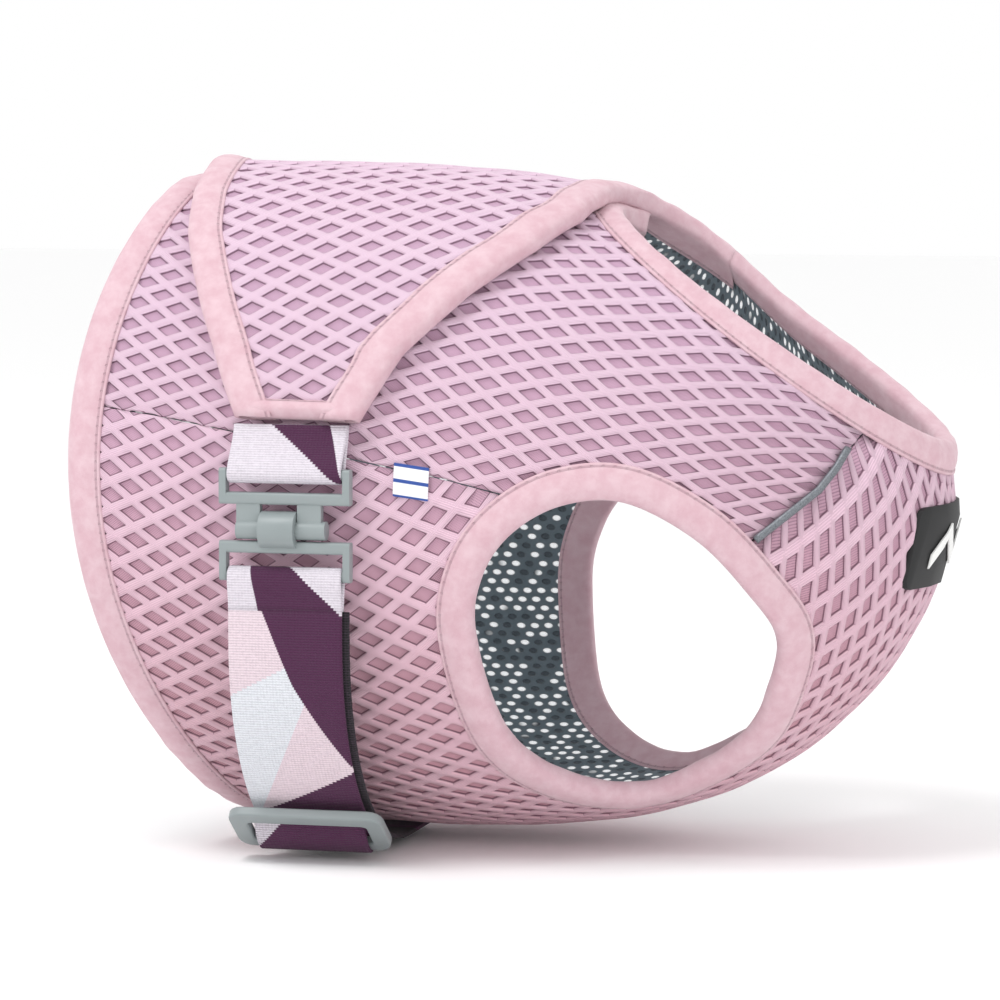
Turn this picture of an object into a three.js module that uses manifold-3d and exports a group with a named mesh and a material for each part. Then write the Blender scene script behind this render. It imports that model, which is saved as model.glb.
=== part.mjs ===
// Wrap-around cooling vest for a medium dog, with an elastic belly strap and a hook buckle.
// Millimetres. +X towards the head, +Y to the dog's left, +Z up.
// The origin is the middle of the space the dog's chest fills.
import * as THREE from 'three';
import Module from 'manifold-3d';
import { mergeVertices } from 'three/addons/utils/BufferGeometryUtils.js';

const wasm = await Module();
wasm.setup();

// ---- driving dimensions -------------------------------------------------------------------

// Overall sizes of the worn vest, measured on the outer face of the cloth.
const VEST_LENGTH = 271;
const VEST_HEIGHT = 225.5;
const VEST_WIDTH = 188;

// Cloth laminate: outer knit, absorbent core and lining, with the slack between them.
const OUTER_KNIT = 1.2;
const CORE = 1.6;
const LINING = 0.8;
const CLEARANCE = 0.3;
const LAMINATE = OUTER_KNIT + CORE + LINING + 2 * CLEARANCE;

// Folded edge tape.
const TAPE = 0.7;
const TAPE_WIDTH = 12;
const TAPE_SLACK = 0.5;
const TAPE_RIM = 1.0;
const EDGE_INSET = TAPE_RIM + 2 * CLEARANCE;

// How far the overlapping wing stands above the panel it lies on.
const WING_LIFT = 7.1;

// Gap at the fold line of the wing, just to the left of the spine.
const HINGE_GAP = 0.6;

// Webbing and its hardware.
const WEBBING_WIDTH = 39.4;
const WEBBING = 1.5;
const BUCKLE_X = -48;
const BUCKLE_STANDOFF = 7;
const WEBBING_ROOM = 0.4;
const BUCKLE_ARM = 2.4;
const BUCKLE_WIDTH = WEBBING_WIDTH + 2 * (WEBBING_ROOM + BUCKLE_ARM);
const BUCKLE_DEPTH = 4.2;
const RAIL = 4;
const BAR_RADIUS = 3.2;
const CROSSBAR_RADIUS = 2;
const HOOK_CLEARANCE = 0.35;
const HOOK_THICKNESS = 2.8;
const HOOK_TIP_ANGLE = 50;
const STRAP_RADIUS = 75;
const SLIDER_ANGLE = 54;
const SLIDER_ROOM = 1.2;
const SLIDER_SIDE = 6.1;
const SLIDER_WIDTH = WEBBING_WIDTH + 2 * (SLIDER_ROOM + SLIDER_SIDE);
const SLIDER_HEIGHT = 23;
const SLIDER_DEPTH = 3.5;

// Grid of the sewn shell: cells from tail to neck, and columns once around the body.
const ROWS = 12;
const COLUMNS = 30;

// ---- torso shape --------------------------------------------------------------------------

// Stations were laid out for this size of vest and follow the driving sizes from there.
const LAYOUT = { length: 271, height: 225.5, width: 188 };
const scaleX = (x) => (x * VEST_LENGTH) / LAYOUT.length;
const scaleY = (y) => (y * VEST_WIDTH) / LAYOUT.width;
const scaleZ = (z) => (z * VEST_HEIGHT) / LAYOUT.height;

// Belly line from the tail end round to the throat: x, half width of the body there, z.
const BELLY_STATIONS = [
  [-91, 84, -109],
  [-42, 92, -113],
  [12, 94, -113],
  [62, 92, -106],
  [105, 85, -87],
  [139, 74, -54],
  [158, 62, -12],
  [158, 49, 24],
];
// Back line from the tail end to the nape: x, z.
const BACK_STATIONS = [
  [-113, 111.5],
  [-72, 110.8],
  [-30, 110],
  [12, 107],
  [45, 101.5],
];
// The flanks bulge backwards at the tail end by this much.
const FLANK_BULGE = scaleX(27);
const FLANK_BULGE_SPAN = 0.45;
// Ribs fan out towards the chest, so stations on the back bunch up at the nape.
const FAN_POWER = 2.4;

const stationCurve = (points) => new THREE.CatmullRomCurve3(points, false, 'catmullrom', 0.5);
const bellyCurve = stationCurve(
  BELLY_STATIONS.map(([x, w, z]) => new THREE.Vector3(scaleX(x), scaleY(w), scaleZ(z))),
);
const backCurve = stationCurve(
  BACK_STATIONS.map(([x, z]) => new THREE.Vector3(scaleX(x), 0, scaleZ(z))),
);

// Point on the outer cloth face: s runs tail to neck, phi is 0 on the spine, -90 on the right flank.
function torsoPoint(s, phi) {
  const belly = bellyCurve.getPoint(s);
  const back = backCurve.getPoint(1 - (1 - s) ** FAN_POWER);
  const sine = Math.sin(phi);
  const cosine = Math.cos(phi);
  const bulge = FLANK_BULGE * Math.max(0, 1 - s / FLANK_BULGE_SPAN) ** 2;
  return new THREE.Vector3(
    (back.x + belly.x) / 2 + ((back.x - belly.x) / 2) * cosine - bulge * sine * sine,
    belly.y * sine,
    (back.z + belly.z) / 2 + ((back.z - belly.z) / 2) * cosine,
  );
}

function torsoNormal(s, phi) {
  const step = 0.02;
  const s0 = Math.max(0, s - step);
  const s1 = Math.min(1, s + step);
  const alongBody = torsoPoint(s1, phi).sub(torsoPoint(s0, phi));
  const aroundBody = torsoPoint(s, phi + step).sub(torsoPoint(s, phi - step));
  return alongBody.cross(aroundBody).normalize();
}

// One column of the grid: evenly spaced nodes along the body at a fixed angle.
function gridColumn(index) {
  const phi = (index * 2 * Math.PI) / COLUMNS;
  const samples = 80;
  const travelled = [0];
  for (let i = 1; i <= samples; i++) {
    const leg = torsoPoint(i / samples, phi).distanceTo(torsoPoint((i - 1) / samples, phi));
    travelled.push(travelled[i - 1] + leg);
  }
  const length = travelled[samples];
  const nodes = [];
  for (let row = 0; row <= ROWS; row++) {
    const target = (length * row) / ROWS;
    let i = 1;
    while (i < samples && travelled[i] < target) i++;
    const part = (target - travelled[i - 1]) / (travelled[i] - travelled[i - 1]);
    const s = Math.min(1, (i - 1 + part) / samples);
    nodes.push({ point: torsoPoint(s, phi), normal: torsoNormal(s, phi) });
  }
  return { length, nodes };
}
const grid = Array.from({ length: COLUMNS }, (_, index) => gridColumn(index));
const columnAt = (index) => grid[((index % COLUMNS) + COLUMNS) % COLUMNS];

// The vest is one spiral wrap. "Turn" counts grid columns: 0 is the spine, negative turns go down
// the right flank, under the belly, up the left flank, over the spine again and down as the wing.
const degrees = (angle) => (angle * COLUMNS) / 360;
const LIFT_START = degrees(-270);
const LIFT_END = degrees(-318);

function liftAt(turn) {
  return WING_LIFT * THREE.MathUtils.smoothstep(-turn, -LIFT_START, -LIFT_END);
}

// Point on the flat-celled shell. u runs 0 at the tail end to 1 at the neck.
function wrapPoint(u, turn, offset) {
  const row = Math.min(ROWS - 1, Math.max(0, Math.floor(u * ROWS)));
  const rowPart = u * ROWS - row;
  const column = Math.floor(turn);
  const columnPart = turn - column;
  const corner = (dRow, dColumn) => {
    const { point, normal } = columnAt(column + dColumn).nodes[row + dRow];
    return point.clone().addScaledVector(normal, offset + liftAt(column + dColumn));
  };
  const near = corner(0, 0).lerp(corner(1, 0), rowPart);
  const far = corner(0, 1).lerp(corner(1, 1), rowPart);
  return near.lerp(far, columnPart);
}

function lengthAt(turn) {
  const column = Math.floor(turn);
  return THREE.MathUtils.lerp(columnAt(column).length, columnAt(column + 1).length, turn - column);
}

// ---- solid helpers ------------------------------------------------------------------------

// Moves every vertex of a block through a mapping.
function bend(block, mapping) {
  const source = block.clone();
  source.deleteAttribute('normal');
  source.deleteAttribute('uv');
  const geometry = mergeVertices(source, 1e-6);
  const position = geometry.attributes.position;
  for (let i = 0; i < position.count; i++) {
    const moved = mapping(position.getX(i), position.getY(i), position.getZ(i));
    position.setXYZ(i, moved.x, moved.y, moved.z);
  }
  return geometry;
}

function toManifold(geometry) {
  const bare = geometry.clone();
  bare.deleteAttribute('normal');
  bare.deleteAttribute('uv');
  const merged = mergeVertices(bare, 1e-5);
  const triVerts = new Uint32Array(merged.index.array);
  const vertProperties = new Float32Array(merged.attributes.position.array);
  const solid = new wasm.Manifold(new wasm.Mesh({ numProp: 3, vertProperties, triVerts }));
  if (solid.volume() > 0) return solid;
  for (let i = 0; i < triVerts.length; i += 3) {
    const swap = triVerts[i];
    triVerts[i] = triVerts[i + 1];
    triVerts[i + 1] = swap;
  }
  return new wasm.Manifold(new wasm.Mesh({ numProp: 3, vertProperties, triVerts }));
}

const SIMPLIFY = 0.04;
function toGeometry(solid) {
  const mesh = solid.simplify(SIMPLIFY).getMesh();
  const geometry = new THREE.BufferGeometry();
  geometry.setAttribute('position', new THREE.Float32BufferAttribute(mesh.vertProperties, 3));
  geometry.setIndex([...mesh.triVerts]);
  geometry.computeVertexNormals();
  return geometry;
}

// Straight prism through the vest along Y, from an outline drawn in the X-Z plane.
function sidePrism(outline, yFrom, yTo) {
  const shape = new THREE.Shape(outline.map(([x, z]) => new THREE.Vector2(x, z)));
  const block = new THREE.ExtrudeGeometry(shape, { depth: 1, steps: 1, bevelEnabled: false });
  return toManifold(bend(block, (x, z, t) => new THREE.Vector3(x, yFrom + (yTo - yFrom) * t, z)));
}

// Straight prism along X, from an outline drawn in the Y-Z plane.
function frontPrism(outline, xFrom, xTo) {
  const shape = new THREE.Shape(outline.map(([y, z]) => new THREE.Vector2(y, z)));
  const block = new THREE.ExtrudeGeometry(shape, { depth: 1, steps: 1, bevelEnabled: false });
  return toManifold(bend(block, (y, z, t) => new THREE.Vector3(xFrom + (xTo - xFrom) * t, y, z)));
}

function box(xFrom, xTo, yFrom, yTo, zFrom, zTo) {
  const block = new THREE.BoxGeometry(xTo - xFrom, yTo - yFrom, zTo - zFrom);
  block.translate((xFrom + xTo) / 2, (yFrom + yTo) / 2, (zFrom + zTo) / 2);
  return toManifold(block);
}

// Rod along X.
function rod(radius, xFrom, xTo, y, z, sides = 16) {
  const block = new THREE.CylinderGeometry(radius, radius, xTo - xFrom, sides);
  block.rotateZ(Math.PI / 2);
  block.translate((xFrom + xTo) / 2, y, z);
  return toManifold(block);
}

// Bar along X with a rounded-corner section in the Y-Z plane.
function roundedBar(xFrom, xTo, yFrom, yTo, zFrom, zTo, radius) {
  const outline = roundedRectangle(yTo - yFrom, zTo - zFrom, radius, 3);
  const yMiddle = (yFrom + yTo) / 2;
  const zMiddle = (zFrom + zTo) / 2;
  return frontPrism(outline.map(([y, z]) => [yMiddle + y, zMiddle + z]), xFrom, xTo);
}

function roundedRectangle(width, height, radius, arcSteps) {
  const outline = [];
  const corners = [
    [width / 2 - radius, height / 2 - radius, 0],
    [radius - width / 2, height / 2 - radius, 90],
    [radius - width / 2, radius - height / 2, 180],
    [width / 2 - radius, radius - height / 2, 270],
  ];
  for (const [x, y, start] of corners) {
    for (let i = 0; i <= arcSteps; i++) {
      const angle = THREE.MathUtils.degToRad(start + (90 * i) / arcSteps);
      outline.push([x + radius * Math.cos(angle), y + radius * Math.sin(angle)]);
    }
  }
  return outline;
}

// Band of webbing: a centre line in the Y-Z plane, given thickness, running straight across X.
function webbing(centreLine, thickness, xMiddle, width) {
  const left = [];
  const right = [];
  centreLine.forEach((point, i) => {
    const before = centreLine[Math.max(0, i - 1)];
    const after = centreLine[Math.min(centreLine.length - 1, i + 1)];
    const side = new THREE.Vector2().subVectors(after, before).normalize();
    left.push([point.x - (side.y * thickness) / 2, point.y + (side.x * thickness) / 2]);
    right.unshift([point.x + (side.y * thickness) / 2, point.y - (side.x * thickness) / 2]);
  });
  return frontPrism([...left, ...right], xMiddle - width / 2, xMiddle + width / 2);
}

function arcPoints(centreY, centreZ, radius, fromDegrees, toDegrees, steps) {
  return Array.from({ length: steps + 1 }, (_, i) => {
    const angle = THREE.MathUtils.degToRad(fromDegrees + ((toDegrees - fromDegrees) * i) / steps);
    return new THREE.Vector2(centreY + radius * Math.cos(angle), centreZ + radius * Math.sin(angle));
  });
}

// ---- cutting outlines ---------------------------------------------------------------------

// Armhole opening seen from the side, at the edge of its tape.
const ARMHOLE_STATIONS = [
  [13, -38],
  [16, -18],
  [26, -3],
  [43, 7],
  [64, 8],
  [87, -5],
  [103, -24],
  [111, -40],
  [107, -58],
  [98, -75],
  [80, -88],
  [59, -96],
  [36, -90],
  [20, -73],
];
const ARMHOLE_SIDES = 26;
const armholeCurve = new THREE.CatmullRomCurve3(
  ARMHOLE_STATIONS.map(([x, z]) => new THREE.Vector3(scaleX(x), 0, scaleZ(z))),
  true,
  'catmullrom',
  0.5,
);

// Armhole outline grown outwards by a margin.
function armholeOutline(margin) {
  const outline = [];
  for (let i = 0; i < ARMHOLE_SIDES; i++) {
    const t = i / ARMHOLE_SIDES;
    const point = armholeCurve.getPoint(t);
    const tangent = armholeCurve.getTangent(t);
    outline.push([point.x - tangent.z * margin, point.z + tangent.x * margin]);
  }
  return outline;
}

// Seam between the back panels and the chest-and-belly panel: flank seam, then the piped shoulder.
const FLANK_SEAM = [
  [-150, 42],
  [-125, 37],
  [-100, 34],
  [-70, 29],
  [-24, 20],
  [3, 15],
  [28, 9],
];
const SHOULDER_SEAM = [
  [92, -14],
  [104, -5],
  [123, 11],
  [133, 25],
  [150, 48],
];
const SEAM_GAP = 0.4;
const FAR = 260;
const scaleOutline = (outline) => outline.map(([x, z]) => [scaleX(x), scaleZ(z)]);

// Everything below the seam line, shifted down by half the seam gap times the given sign.
function belowSeam(sign) {
  const line = scaleOutline([...FLANK_SEAM, [60, -40], ...SHOULDER_SEAM]);
  const shift = (sign * SEAM_GAP) / 2;
  const outline = line.map(([x, z]) => [x, z + shift]);
  outline.push([FAR, scaleZ(48) + shift], [FAR, -FAR], [-FAR, -FAR], [-FAR, scaleZ(42) + shift]);
  return sidePrism(outline, -FAR, FAR);
}

const armholeCut = sidePrism(armholeOutline(EDGE_INSET), -FAR, FAR);
const chestSide = belowSeam(-1);
const backSideCut = belowSeam(1);

// The wing folds on an upright plane through the tail edge and the neck edge at the same turn.
const HINGE_TURN = degrees(-342);
const hingeTail = wrapPoint(0, HINGE_TURN, 0);
const hingeNeck = wrapPoint(1, HINGE_TURN, 0);
const hingeNormal = new THREE.Vector3(hingeTail.y - hingeNeck.y, hingeNeck.x - hingeTail.x, 0).normalize();
const hingeOffset = hingeNormal.dot(hingeTail);
const leftOfHinge = (solid) => solid.trimByPlane(hingeNormal.toArray(), hingeOffset + HINGE_GAP / 2);
const rightOfHinge = (solid) =>
  solid.trimByPlane(hingeNormal.clone().negate().toArray(), HINGE_GAP / 2 - hingeOffset);

// ---- sewn panels --------------------------------------------------------------------------

// Block of cells with its two broad faces split along the same diagonals, so that layers cut
// from neighbouring offsets stay parallel cell by cell.
function cellBlock(rows, columns) {
  const block = new THREE.BoxGeometry(1, 1, 1, rows, columns, 1);
  const under = block.groups[5];
  for (let i = under.start; i < under.start + under.count; i += 6) {
    const [a, b, d] = [0, 1, 2].map((k) => block.index.getX(i + k));
    const c = block.index.getX(i + 4);
    [a, b, c, a, c, d].forEach((vertex, k) => block.index.setX(i + k, vertex));
  }
  return block;
}

// Sheet between two offsets over a range of turns, from tail to neck, with its tail and neck
// edges held back by the inset.
function sheet(low, high, turnFrom, turnTo, inset = EDGE_INSET) {
  const columns = Math.ceil(turnTo) - turnFrom;
  return toManifold(
    bend(cellBlock(ROWS, columns), (x, y, z) => {
      const turn = Math.min(turnFrom + Math.round((y + 0.5) * columns), turnTo);
      const margin = inset / lengthAt(turn);
      const u = THREE.MathUtils.clamp(x + 0.5, margin, 1 - margin);
      return wrapPoint(u, turn, z > 0 ? high : low);
    }),
  );
}

// Cutting block that covers a range of turns and, at each turn, a range of u. A wide block clears
// both faces of a tape; a snug one also stays clear of the panel under the wing.
const WIDE = [-9, 4];
const SNUG = [-5.6, 1.4];
function cuttingBlock(turnFrom, turnTo, uFrom, uTo, [low, high] = WIDE, rows = 1) {
  const columns = Math.ceil(turnTo - turnFrom);
  const block = new THREE.BoxGeometry(1, 1, 1, rows, columns, 1);
  return toManifold(
    bend(block, (x, y, z) => {
      const turn = Math.min(turnFrom + Math.round((y + 0.5) * columns), turnTo);
      const [start, end] = [uFrom(turn), uTo(turn)];
      const inner = THREE.MathUtils.clamp(x + 0.5, start, end);
      const u = x <= -0.5 ? start : x >= 0.5 ? end : inner;
      return wrapPoint(u, turn, z > 0 ? high : low);
    }),
  );
}

// Offsets of the three cloth layers, measured from the outer face.
const LAYERS = {
  outer: [-OUTER_KNIT, 0],
  core: [-OUTER_KNIT - CLEARANCE - CORE, -OUTER_KNIT - CLEARANCE],
  lining: [-LAMINATE, -LAMINATE + LINING],
};

const TURNS_PER_MM = COLUMNS / (2 * Math.PI * scaleY(93));
const RIGHT_END_TURN = degrees(24);
function chestBellyPanel([low, high]) {
  return sheet(low, high, degrees(-312), degrees(-48)).intersect(chestSide).subtract(armholeCut);
}

const rightEdge = (inset) => RIGHT_END_TURN + (EDGE_INSET - inset) * TURNS_PER_MM;
const rightSheet = (low, high, inset) => sheet(low, high, degrees(-144), rightEdge(inset), inset);

function rightBackPanel([low, high]) {
  return rightSheet(low, high, EDGE_INSET).subtract(backSideCut).subtract(armholeCut);
}

function leftBackPanel([low, high]) {
  const whole = sheet(low, high, degrees(-360), degrees(-216));
  return leftOfHinge(whole).subtract(backSideCut).subtract(armholeCut);
}

// Wing outline on the wrap: turn angle in degrees, then u of its rear and front edges.
const WING_EDGES = [
  [-300, 0, 1],
  [-324, 0, 1],
  [-336, 0.015, 1],
  [-348, 0.04, 0.995],
  [-360, 0.06, 0.985],
  [-372, 0.082, 0.95],
  [-384, 0.1, 0.885],
  [-396, 0.132, 0.77],
  [-408, 0.178, 0.63],
  [-420, 0.222, 0.508],
  [-432, 0.254, 0.425],
  [-444, 0.27, 0.375],
];
const WING_TIP_TURN = degrees(-432);

function wingEdge(turn, side) {
  const angle = (turn * 360) / COLUMNS;
  let i = 1;
  while (i < WING_EDGES.length - 1 && WING_EDGES[i][0] > angle) i++;
  const part = (WING_EDGES[i - 1][0] - angle) / (WING_EDGES[i - 1][0] - WING_EDGES[i][0]);
  return THREE.MathUtils.lerp(WING_EDGES[i - 1][side], WING_EDGES[i][side], part);
}
const REAR = 1;
const FRONT = 2;

// How much longer a step square to a slanted wing edge is than the same step taken along u.
function slantOf(turn, side) {
  const step = 0.25;
  const along = wrapPoint(wingEdge(turn + step, side), turn + step, 0).sub(
    wrapPoint(wingEdge(turn - step, side), turn - step, 0),
  );
  const u = wingEdge(turn, side);
  const across = wrapPoint(Math.min(1, u + 0.01), turn, 0).sub(wrapPoint(Math.max(0, u - 0.01), turn, 0));
  return along.normalize().cross(across.normalize()).length();
}

const WING_ROWS = 8;
const WING_ROOT_TURN = degrees(-336);

// Whole wing between two offsets, with its side edges and its tip held back by the insets.
function wingSheet(low, high, inset, tipInset = inset) {
  const columns = WING_ROOT_TURN - WING_TIP_TURN;
  const tip = WING_TIP_TURN + tipInset * TURNS_PER_MM;
  const solid = toManifold(
    bend(cellBlock(WING_ROWS, columns), (x, y, z) => {
      const column = WING_TIP_TURN + Math.round((y + 0.5) * columns);
      const turn = column === WING_TIP_TURN ? tip : Math.max(column, tip);
      const rear = wingLine(turn, REAR, inset);
      const front = wingLine(turn, FRONT, inset);
      return wrapPoint(THREE.MathUtils.lerp(rear, front, x + 0.5), turn, z > 0 ? high : low);
    }),
  );
  return rightOfHinge(solid);
}

// u of a line that runs at a margin inside the rear or front edge of the wing.
function wingLine(turn, side, margin) {
  const step = margin / lengthAt(turn) / slantOf(turn, side);
  return wingEdge(turn, side) + (side === REAR ? step : -step);
}

const wingPanel = ([low, high]) => wingSheet(low, high, EDGE_INSET);

// ---- edge tapes ---------------------------------------------------------------------------

// Tape folded over an edge. sheetOf draws the sheet the edge belongs to, band covers the width of
// the tape and rim the part of it beyond the edge of the cloth. endInset moves the far end of the
// space inside the tape, so that the tape is open there.
function foldedTape(sheetOf, band, rim, endInset = 0) {
  const inside = [-LAMINATE - TAPE_SLACK, TAPE_SLACK];
  const thick = sheetOf(inside[0] - TAPE, inside[1] + TAPE, 0);
  const pocket = sheetOf(inside[0], inside[1], 0, endInset).subtract(rim);
  return thick.intersect(band).subtract(pocket);
}

// The tail and neck tapes start under the wing, at the hidden end of the right panel, run once
// round the body and stop at the hinge.
const RING_START = degrees(-360);
function ringTape(atNeck) {
  const wrap = (low, high, inset) => sheet(low, high, RING_START, rightEdge(0), inset);
  const wing = cuttingBlock(RING_START - 1, degrees(-324), () => -0.01, () => 1.01, SNUG, ROWS);
  const strip = (width) => ringStrip(atNeck, width, RING_START, rightEdge(0));
  return foldedTape(wrap, strip(TAPE_WIDTH), strip(TAPE_RIM)).subtract(rightOfHinge(wing));
}

function ringStrip(atNeck, width, turnFrom, turnTo) {
  const margin = (turn) => width / lengthAt(turn);
  return atNeck
    ? cuttingBlock(turnFrom, turnTo, (turn) => 1 - margin(turn), () => 1.01, SNUG)
    : cuttingBlock(turnFrom, turnTo, () => -0.01, margin, SNUG);
}

// Strip of a given width along the slanted rear or front edge of the wing.
function wingStrip(side, width) {
  const outside = (turn) => wingLine(turn, side, -2);
  const inside = (turn) => wingLine(turn, side, width);
  const [from, to] = side === REAR ? [outside, inside] : [inside, outside];
  return cuttingBlock(WING_TIP_TURN - 1, WING_ROOT_TURN, from, to);
}

const wingSideTape = (side) =>
  foldedTape(wingSheet, wingStrip(side, TAPE_WIDTH), wingStrip(side, TAPE_RIM), -CLEARANCE);

// Tape on the tip of the wing, between the two side tapes.
function wingTipTape() {
  const whole = (side) => (turn) => wingLine(turn, side, -1);
  const strip = (width) =>
    cuttingBlock(WING_TIP_TURN - 1, WING_TIP_TURN + width * TURNS_PER_MM, whole(REAR), whole(FRONT));
  return foldedTape(wingSheet, strip(TAPE_WIDTH), strip(TAPE_RIM))
    .subtract(wingStrip(REAR, TAPE_WIDTH + CLEARANCE))
    .subtract(wingStrip(FRONT, TAPE_WIDTH + CLEARANCE));
}

// Tape on the hidden end of the right panel, between the tail and neck tapes.
function rightEndTape() {
  const strip = (width) =>
    cuttingBlock(rightEdge(width), RIGHT_END_TURN + 0.5, () => -0.01, () => 1.01, WIDE, ROWS);
  const taken = (atNeck) =>
    ringStrip(atNeck, TAPE_WIDTH + 2 * CLEARANCE, 0, RIGHT_END_TURN + 0.5);
  return foldedTape(rightSheet, strip(TAPE_WIDTH), strip(TAPE_RIM))
    .subtract(taken(true))
    .subtract(taken(false));
}

// Folded tape round an armhole. side is -1 for the right leg and 1 for the left.
function armholeTape(side) {
  const turns = side < 0 ? [degrees(-180), degrees(-60)] : [degrees(-300), degrees(-180)];
  const ring = (margin) => sidePrism(armholeOutline(margin), side < 0 ? -FAR : 5, side < 0 ? -5 : FAR);
  const wrap = (low, high, inset) => sheet(low, high, ...turns, inset);
  return foldedTape(wrap, ring(TAPE_WIDTH).subtract(ring(0)), ring(TAPE_RIM));
}

// ---- trims --------------------------------------------------------------------------------

// Points along a seam line on the right or left flank, found by walking down the wrap.
function seamPoints(line, side, offset, count) {
  const curve = new THREE.SplineCurve(scaleOutline(line).map(([x, z]) => new THREE.Vector2(x, z)));
  const points = [];
  for (let i = 0; i < count; i++) {
    const target = curve.getPoint(i / (count - 1));
    points.push(surfaceAt(target.x, target.y, side, offset));
  }
  return points;
}

// Point of the shell whose side view is at x, z. Newton steps on u and turn.
function surfaceAt(x, z, side, offset) {
  let u = 0.6;
  let turn = degrees(side < 0 ? -100 : -260);
  const step = 1e-3;
  for (let i = 0; i < 12; i++) {
    const here = wrapPoint(u, turn, offset);
    const du = wrapPoint(u + step, turn, offset).sub(here).divideScalar(step);
    const dt = wrapPoint(u, turn + step, offset).sub(here).divideScalar(step);
    const determinant = du.x * dt.z - dt.x * du.z;
    const missX = x - here.x;
    const missZ = z - here.z;
    u = THREE.MathUtils.clamp(u + (missX * dt.z - missZ * dt.x) / determinant, 0, 1 - step);
    turn += THREE.MathUtils.clamp((missZ * du.x - missX * du.z) / determinant, -2, 2);
  }
  return wrapPoint(u, turn, offset);
}

const PIPING_RADIUS = 1.4;
const PIPING_LINE = [
  [106, -3],
  [115, 4],
  [123, 11],
  [128, 18],
];

function piping(side) {
  const points = seamPoints(PIPING_LINE, side, PIPING_RADIUS + TAPE_SLACK, 6);
  const path = new THREE.CatmullRomCurve3(points);
  const section = new THREE.Shape().absarc(0, 0, PIPING_RADIUS, 0, 2 * Math.PI);
  const block = new THREE.ExtrudeGeometry(section, {
    steps: 8,
    curveSegments: 4,
    bevelEnabled: false,
    extrudePath: path,
  });
  return toManifold(block);
}

const SEAM_TAPE_WIDTH = 12;
const SEAM_TAPE = 0.8;

// Flat tape on the inside of the shoulder seam, clear of the armhole and neck tapes.
function seamTape(side) {
  const middle = scaleOutline(PIPING_LINE);
  const start = new THREE.Vector2(...middle[0]);
  const along = new THREE.Vector2(...middle[middle.length - 1]).sub(start).normalize();
  const across = new THREE.Vector2(-along.y, along.x).multiplyScalar(SEAM_TAPE_WIDTH / 2);
  const left = middle.map(([x, z]) => [x + across.x, z + across.y]);
  const right = middle.map(([x, z]) => [x - across.x, z - across.y]).reverse();
  const strip = sidePrism([...left, ...right], side < 0 ? -FAR : 5, side < 0 ? -5 : FAR);
  const turns = side < 0 ? [degrees(-156), degrees(-72)] : [degrees(-288), degrees(-204)];
  const outerFace = -LAMINATE - CLEARANCE;
  const band = sheet(outerFace - SEAM_TAPE, outerFace, ...turns, TAPE_WIDTH + 2);
  const armholeMargin = sidePrism(armholeOutline(TAPE_WIDTH + 1), -FAR, FAR);
  return band.intersect(strip).subtract(armholeMargin);
}

const BADGE_WIDTH = 60;
const BADGE_HEIGHT = 28;
const BADGE_THICKNESS = 1.6;
const BADGE_Z = scaleZ(-11);
const MARK_THICKNESS = 0.7;
const CHEST_X = scaleX(110);

function chestBadge() {
  const outline = roundedRectangle(BADGE_WIDTH, BADGE_HEIGHT, 3, 2).map(([y, z]) => [y, BADGE_Z + z]);
  const band = sheet(TAPE_SLACK, TAPE_SLACK + BADGE_THICKNESS, degrees(-240), degrees(-120), 2);
  return band.intersect(frontPrism(outline, CHEST_X, FAR));
}

// Plain zigzag raised on the badge.
function badgeMark() {
  const peaks = 5;
  const stroke = 5;
  const top = [];
  const bottom = [];
  for (let i = 0; i < peaks; i++) {
    const y = -20 + (40 * i) / (peaks - 1);
    const z = BADGE_Z + (i % 2 === 0 ? -5 : 5);
    top.push([y, z + stroke / 2]);
    bottom.unshift([y, z - stroke / 2]);
  }
  const low = TAPE_SLACK + BADGE_THICKNESS + CLEARANCE;
  const band = sheet(low, low + MARK_THICKNESS, degrees(-240), degrees(-120), 2);
  return band.intersect(frontPrism([...top, ...bottom], CHEST_X, FAR));
}

// Small woven tab hanging from the right flank seam.
function sideTab() {
  const outline = scaleOutline([
    [-13, 20],
    [-13, 9],
    [-1, 7.5],
    [-1, 18.5],
  ]);
  const band = sheet(TAPE_SLACK, TAPE_SLACK + 0.8, degrees(-108), degrees(-60));
  return band.intersect(sidePrism(outline, -FAR, 0));
}

// ---- buckle, straps and slider ------------------------------------------------------------

const BAR_Y = -(scaleY(93) + BUCKLE_STANDOFF + 1);
const BAR_Z = -2.5;
const UPPER_RAIL_Z = 6;
const UPPER_CROSSBAR_Z = 16;
const LOWER_RAIL_Z = BAR_Z - BAR_RADIUS - 0.5;
const LOWER_CROSSBAR_Z = LOWER_RAIL_Z - 11.3;
const TONGUE_WIDTH = 12.2;
const TONGUE_OFFSET = -2;
const LEG_WIDTH = 8.2;

// A rail with two arms carrying a round crossbar for webbing; towards is +1 upwards, -1 downwards.
function webbingFrame(railZ, crossbarZ, towards) {
  const half = BUCKLE_WIDTH / 2;
  const deep = BUCKLE_DEPTH / 2;
  const railFar = railZ + towards * RAIL;
  const rail = roundedBar(
    BUCKLE_X - half,
    BUCKLE_X + half,
    BAR_Y - deep,
    BAR_Y + deep,
    Math.min(railZ, railFar),
    Math.max(railZ, railFar),
    1,
  );
  const crossbar = rod(CROSSBAR_RADIUS, BUCKLE_X - half + 0.5, BUCKLE_X + half - 0.5, BAR_Y, crossbarZ);
  const armFrom = Math.min(railZ + towards, crossbarZ + towards * CROSSBAR_RADIUS);
  const armTo = Math.max(railZ + towards, crossbarZ + towards * CROSSBAR_RADIUS);
  const arms = [-half, half - BUCKLE_ARM].map((x) =>
    roundedBar(BUCKLE_X + x, BUCKLE_X + x + BUCKLE_ARM, BAR_Y - deep, BAR_Y + deep, armFrom, armTo, 1),
  );
  return rail.add(crossbar).add(arms[0]).add(arms[1]);
}

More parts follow.
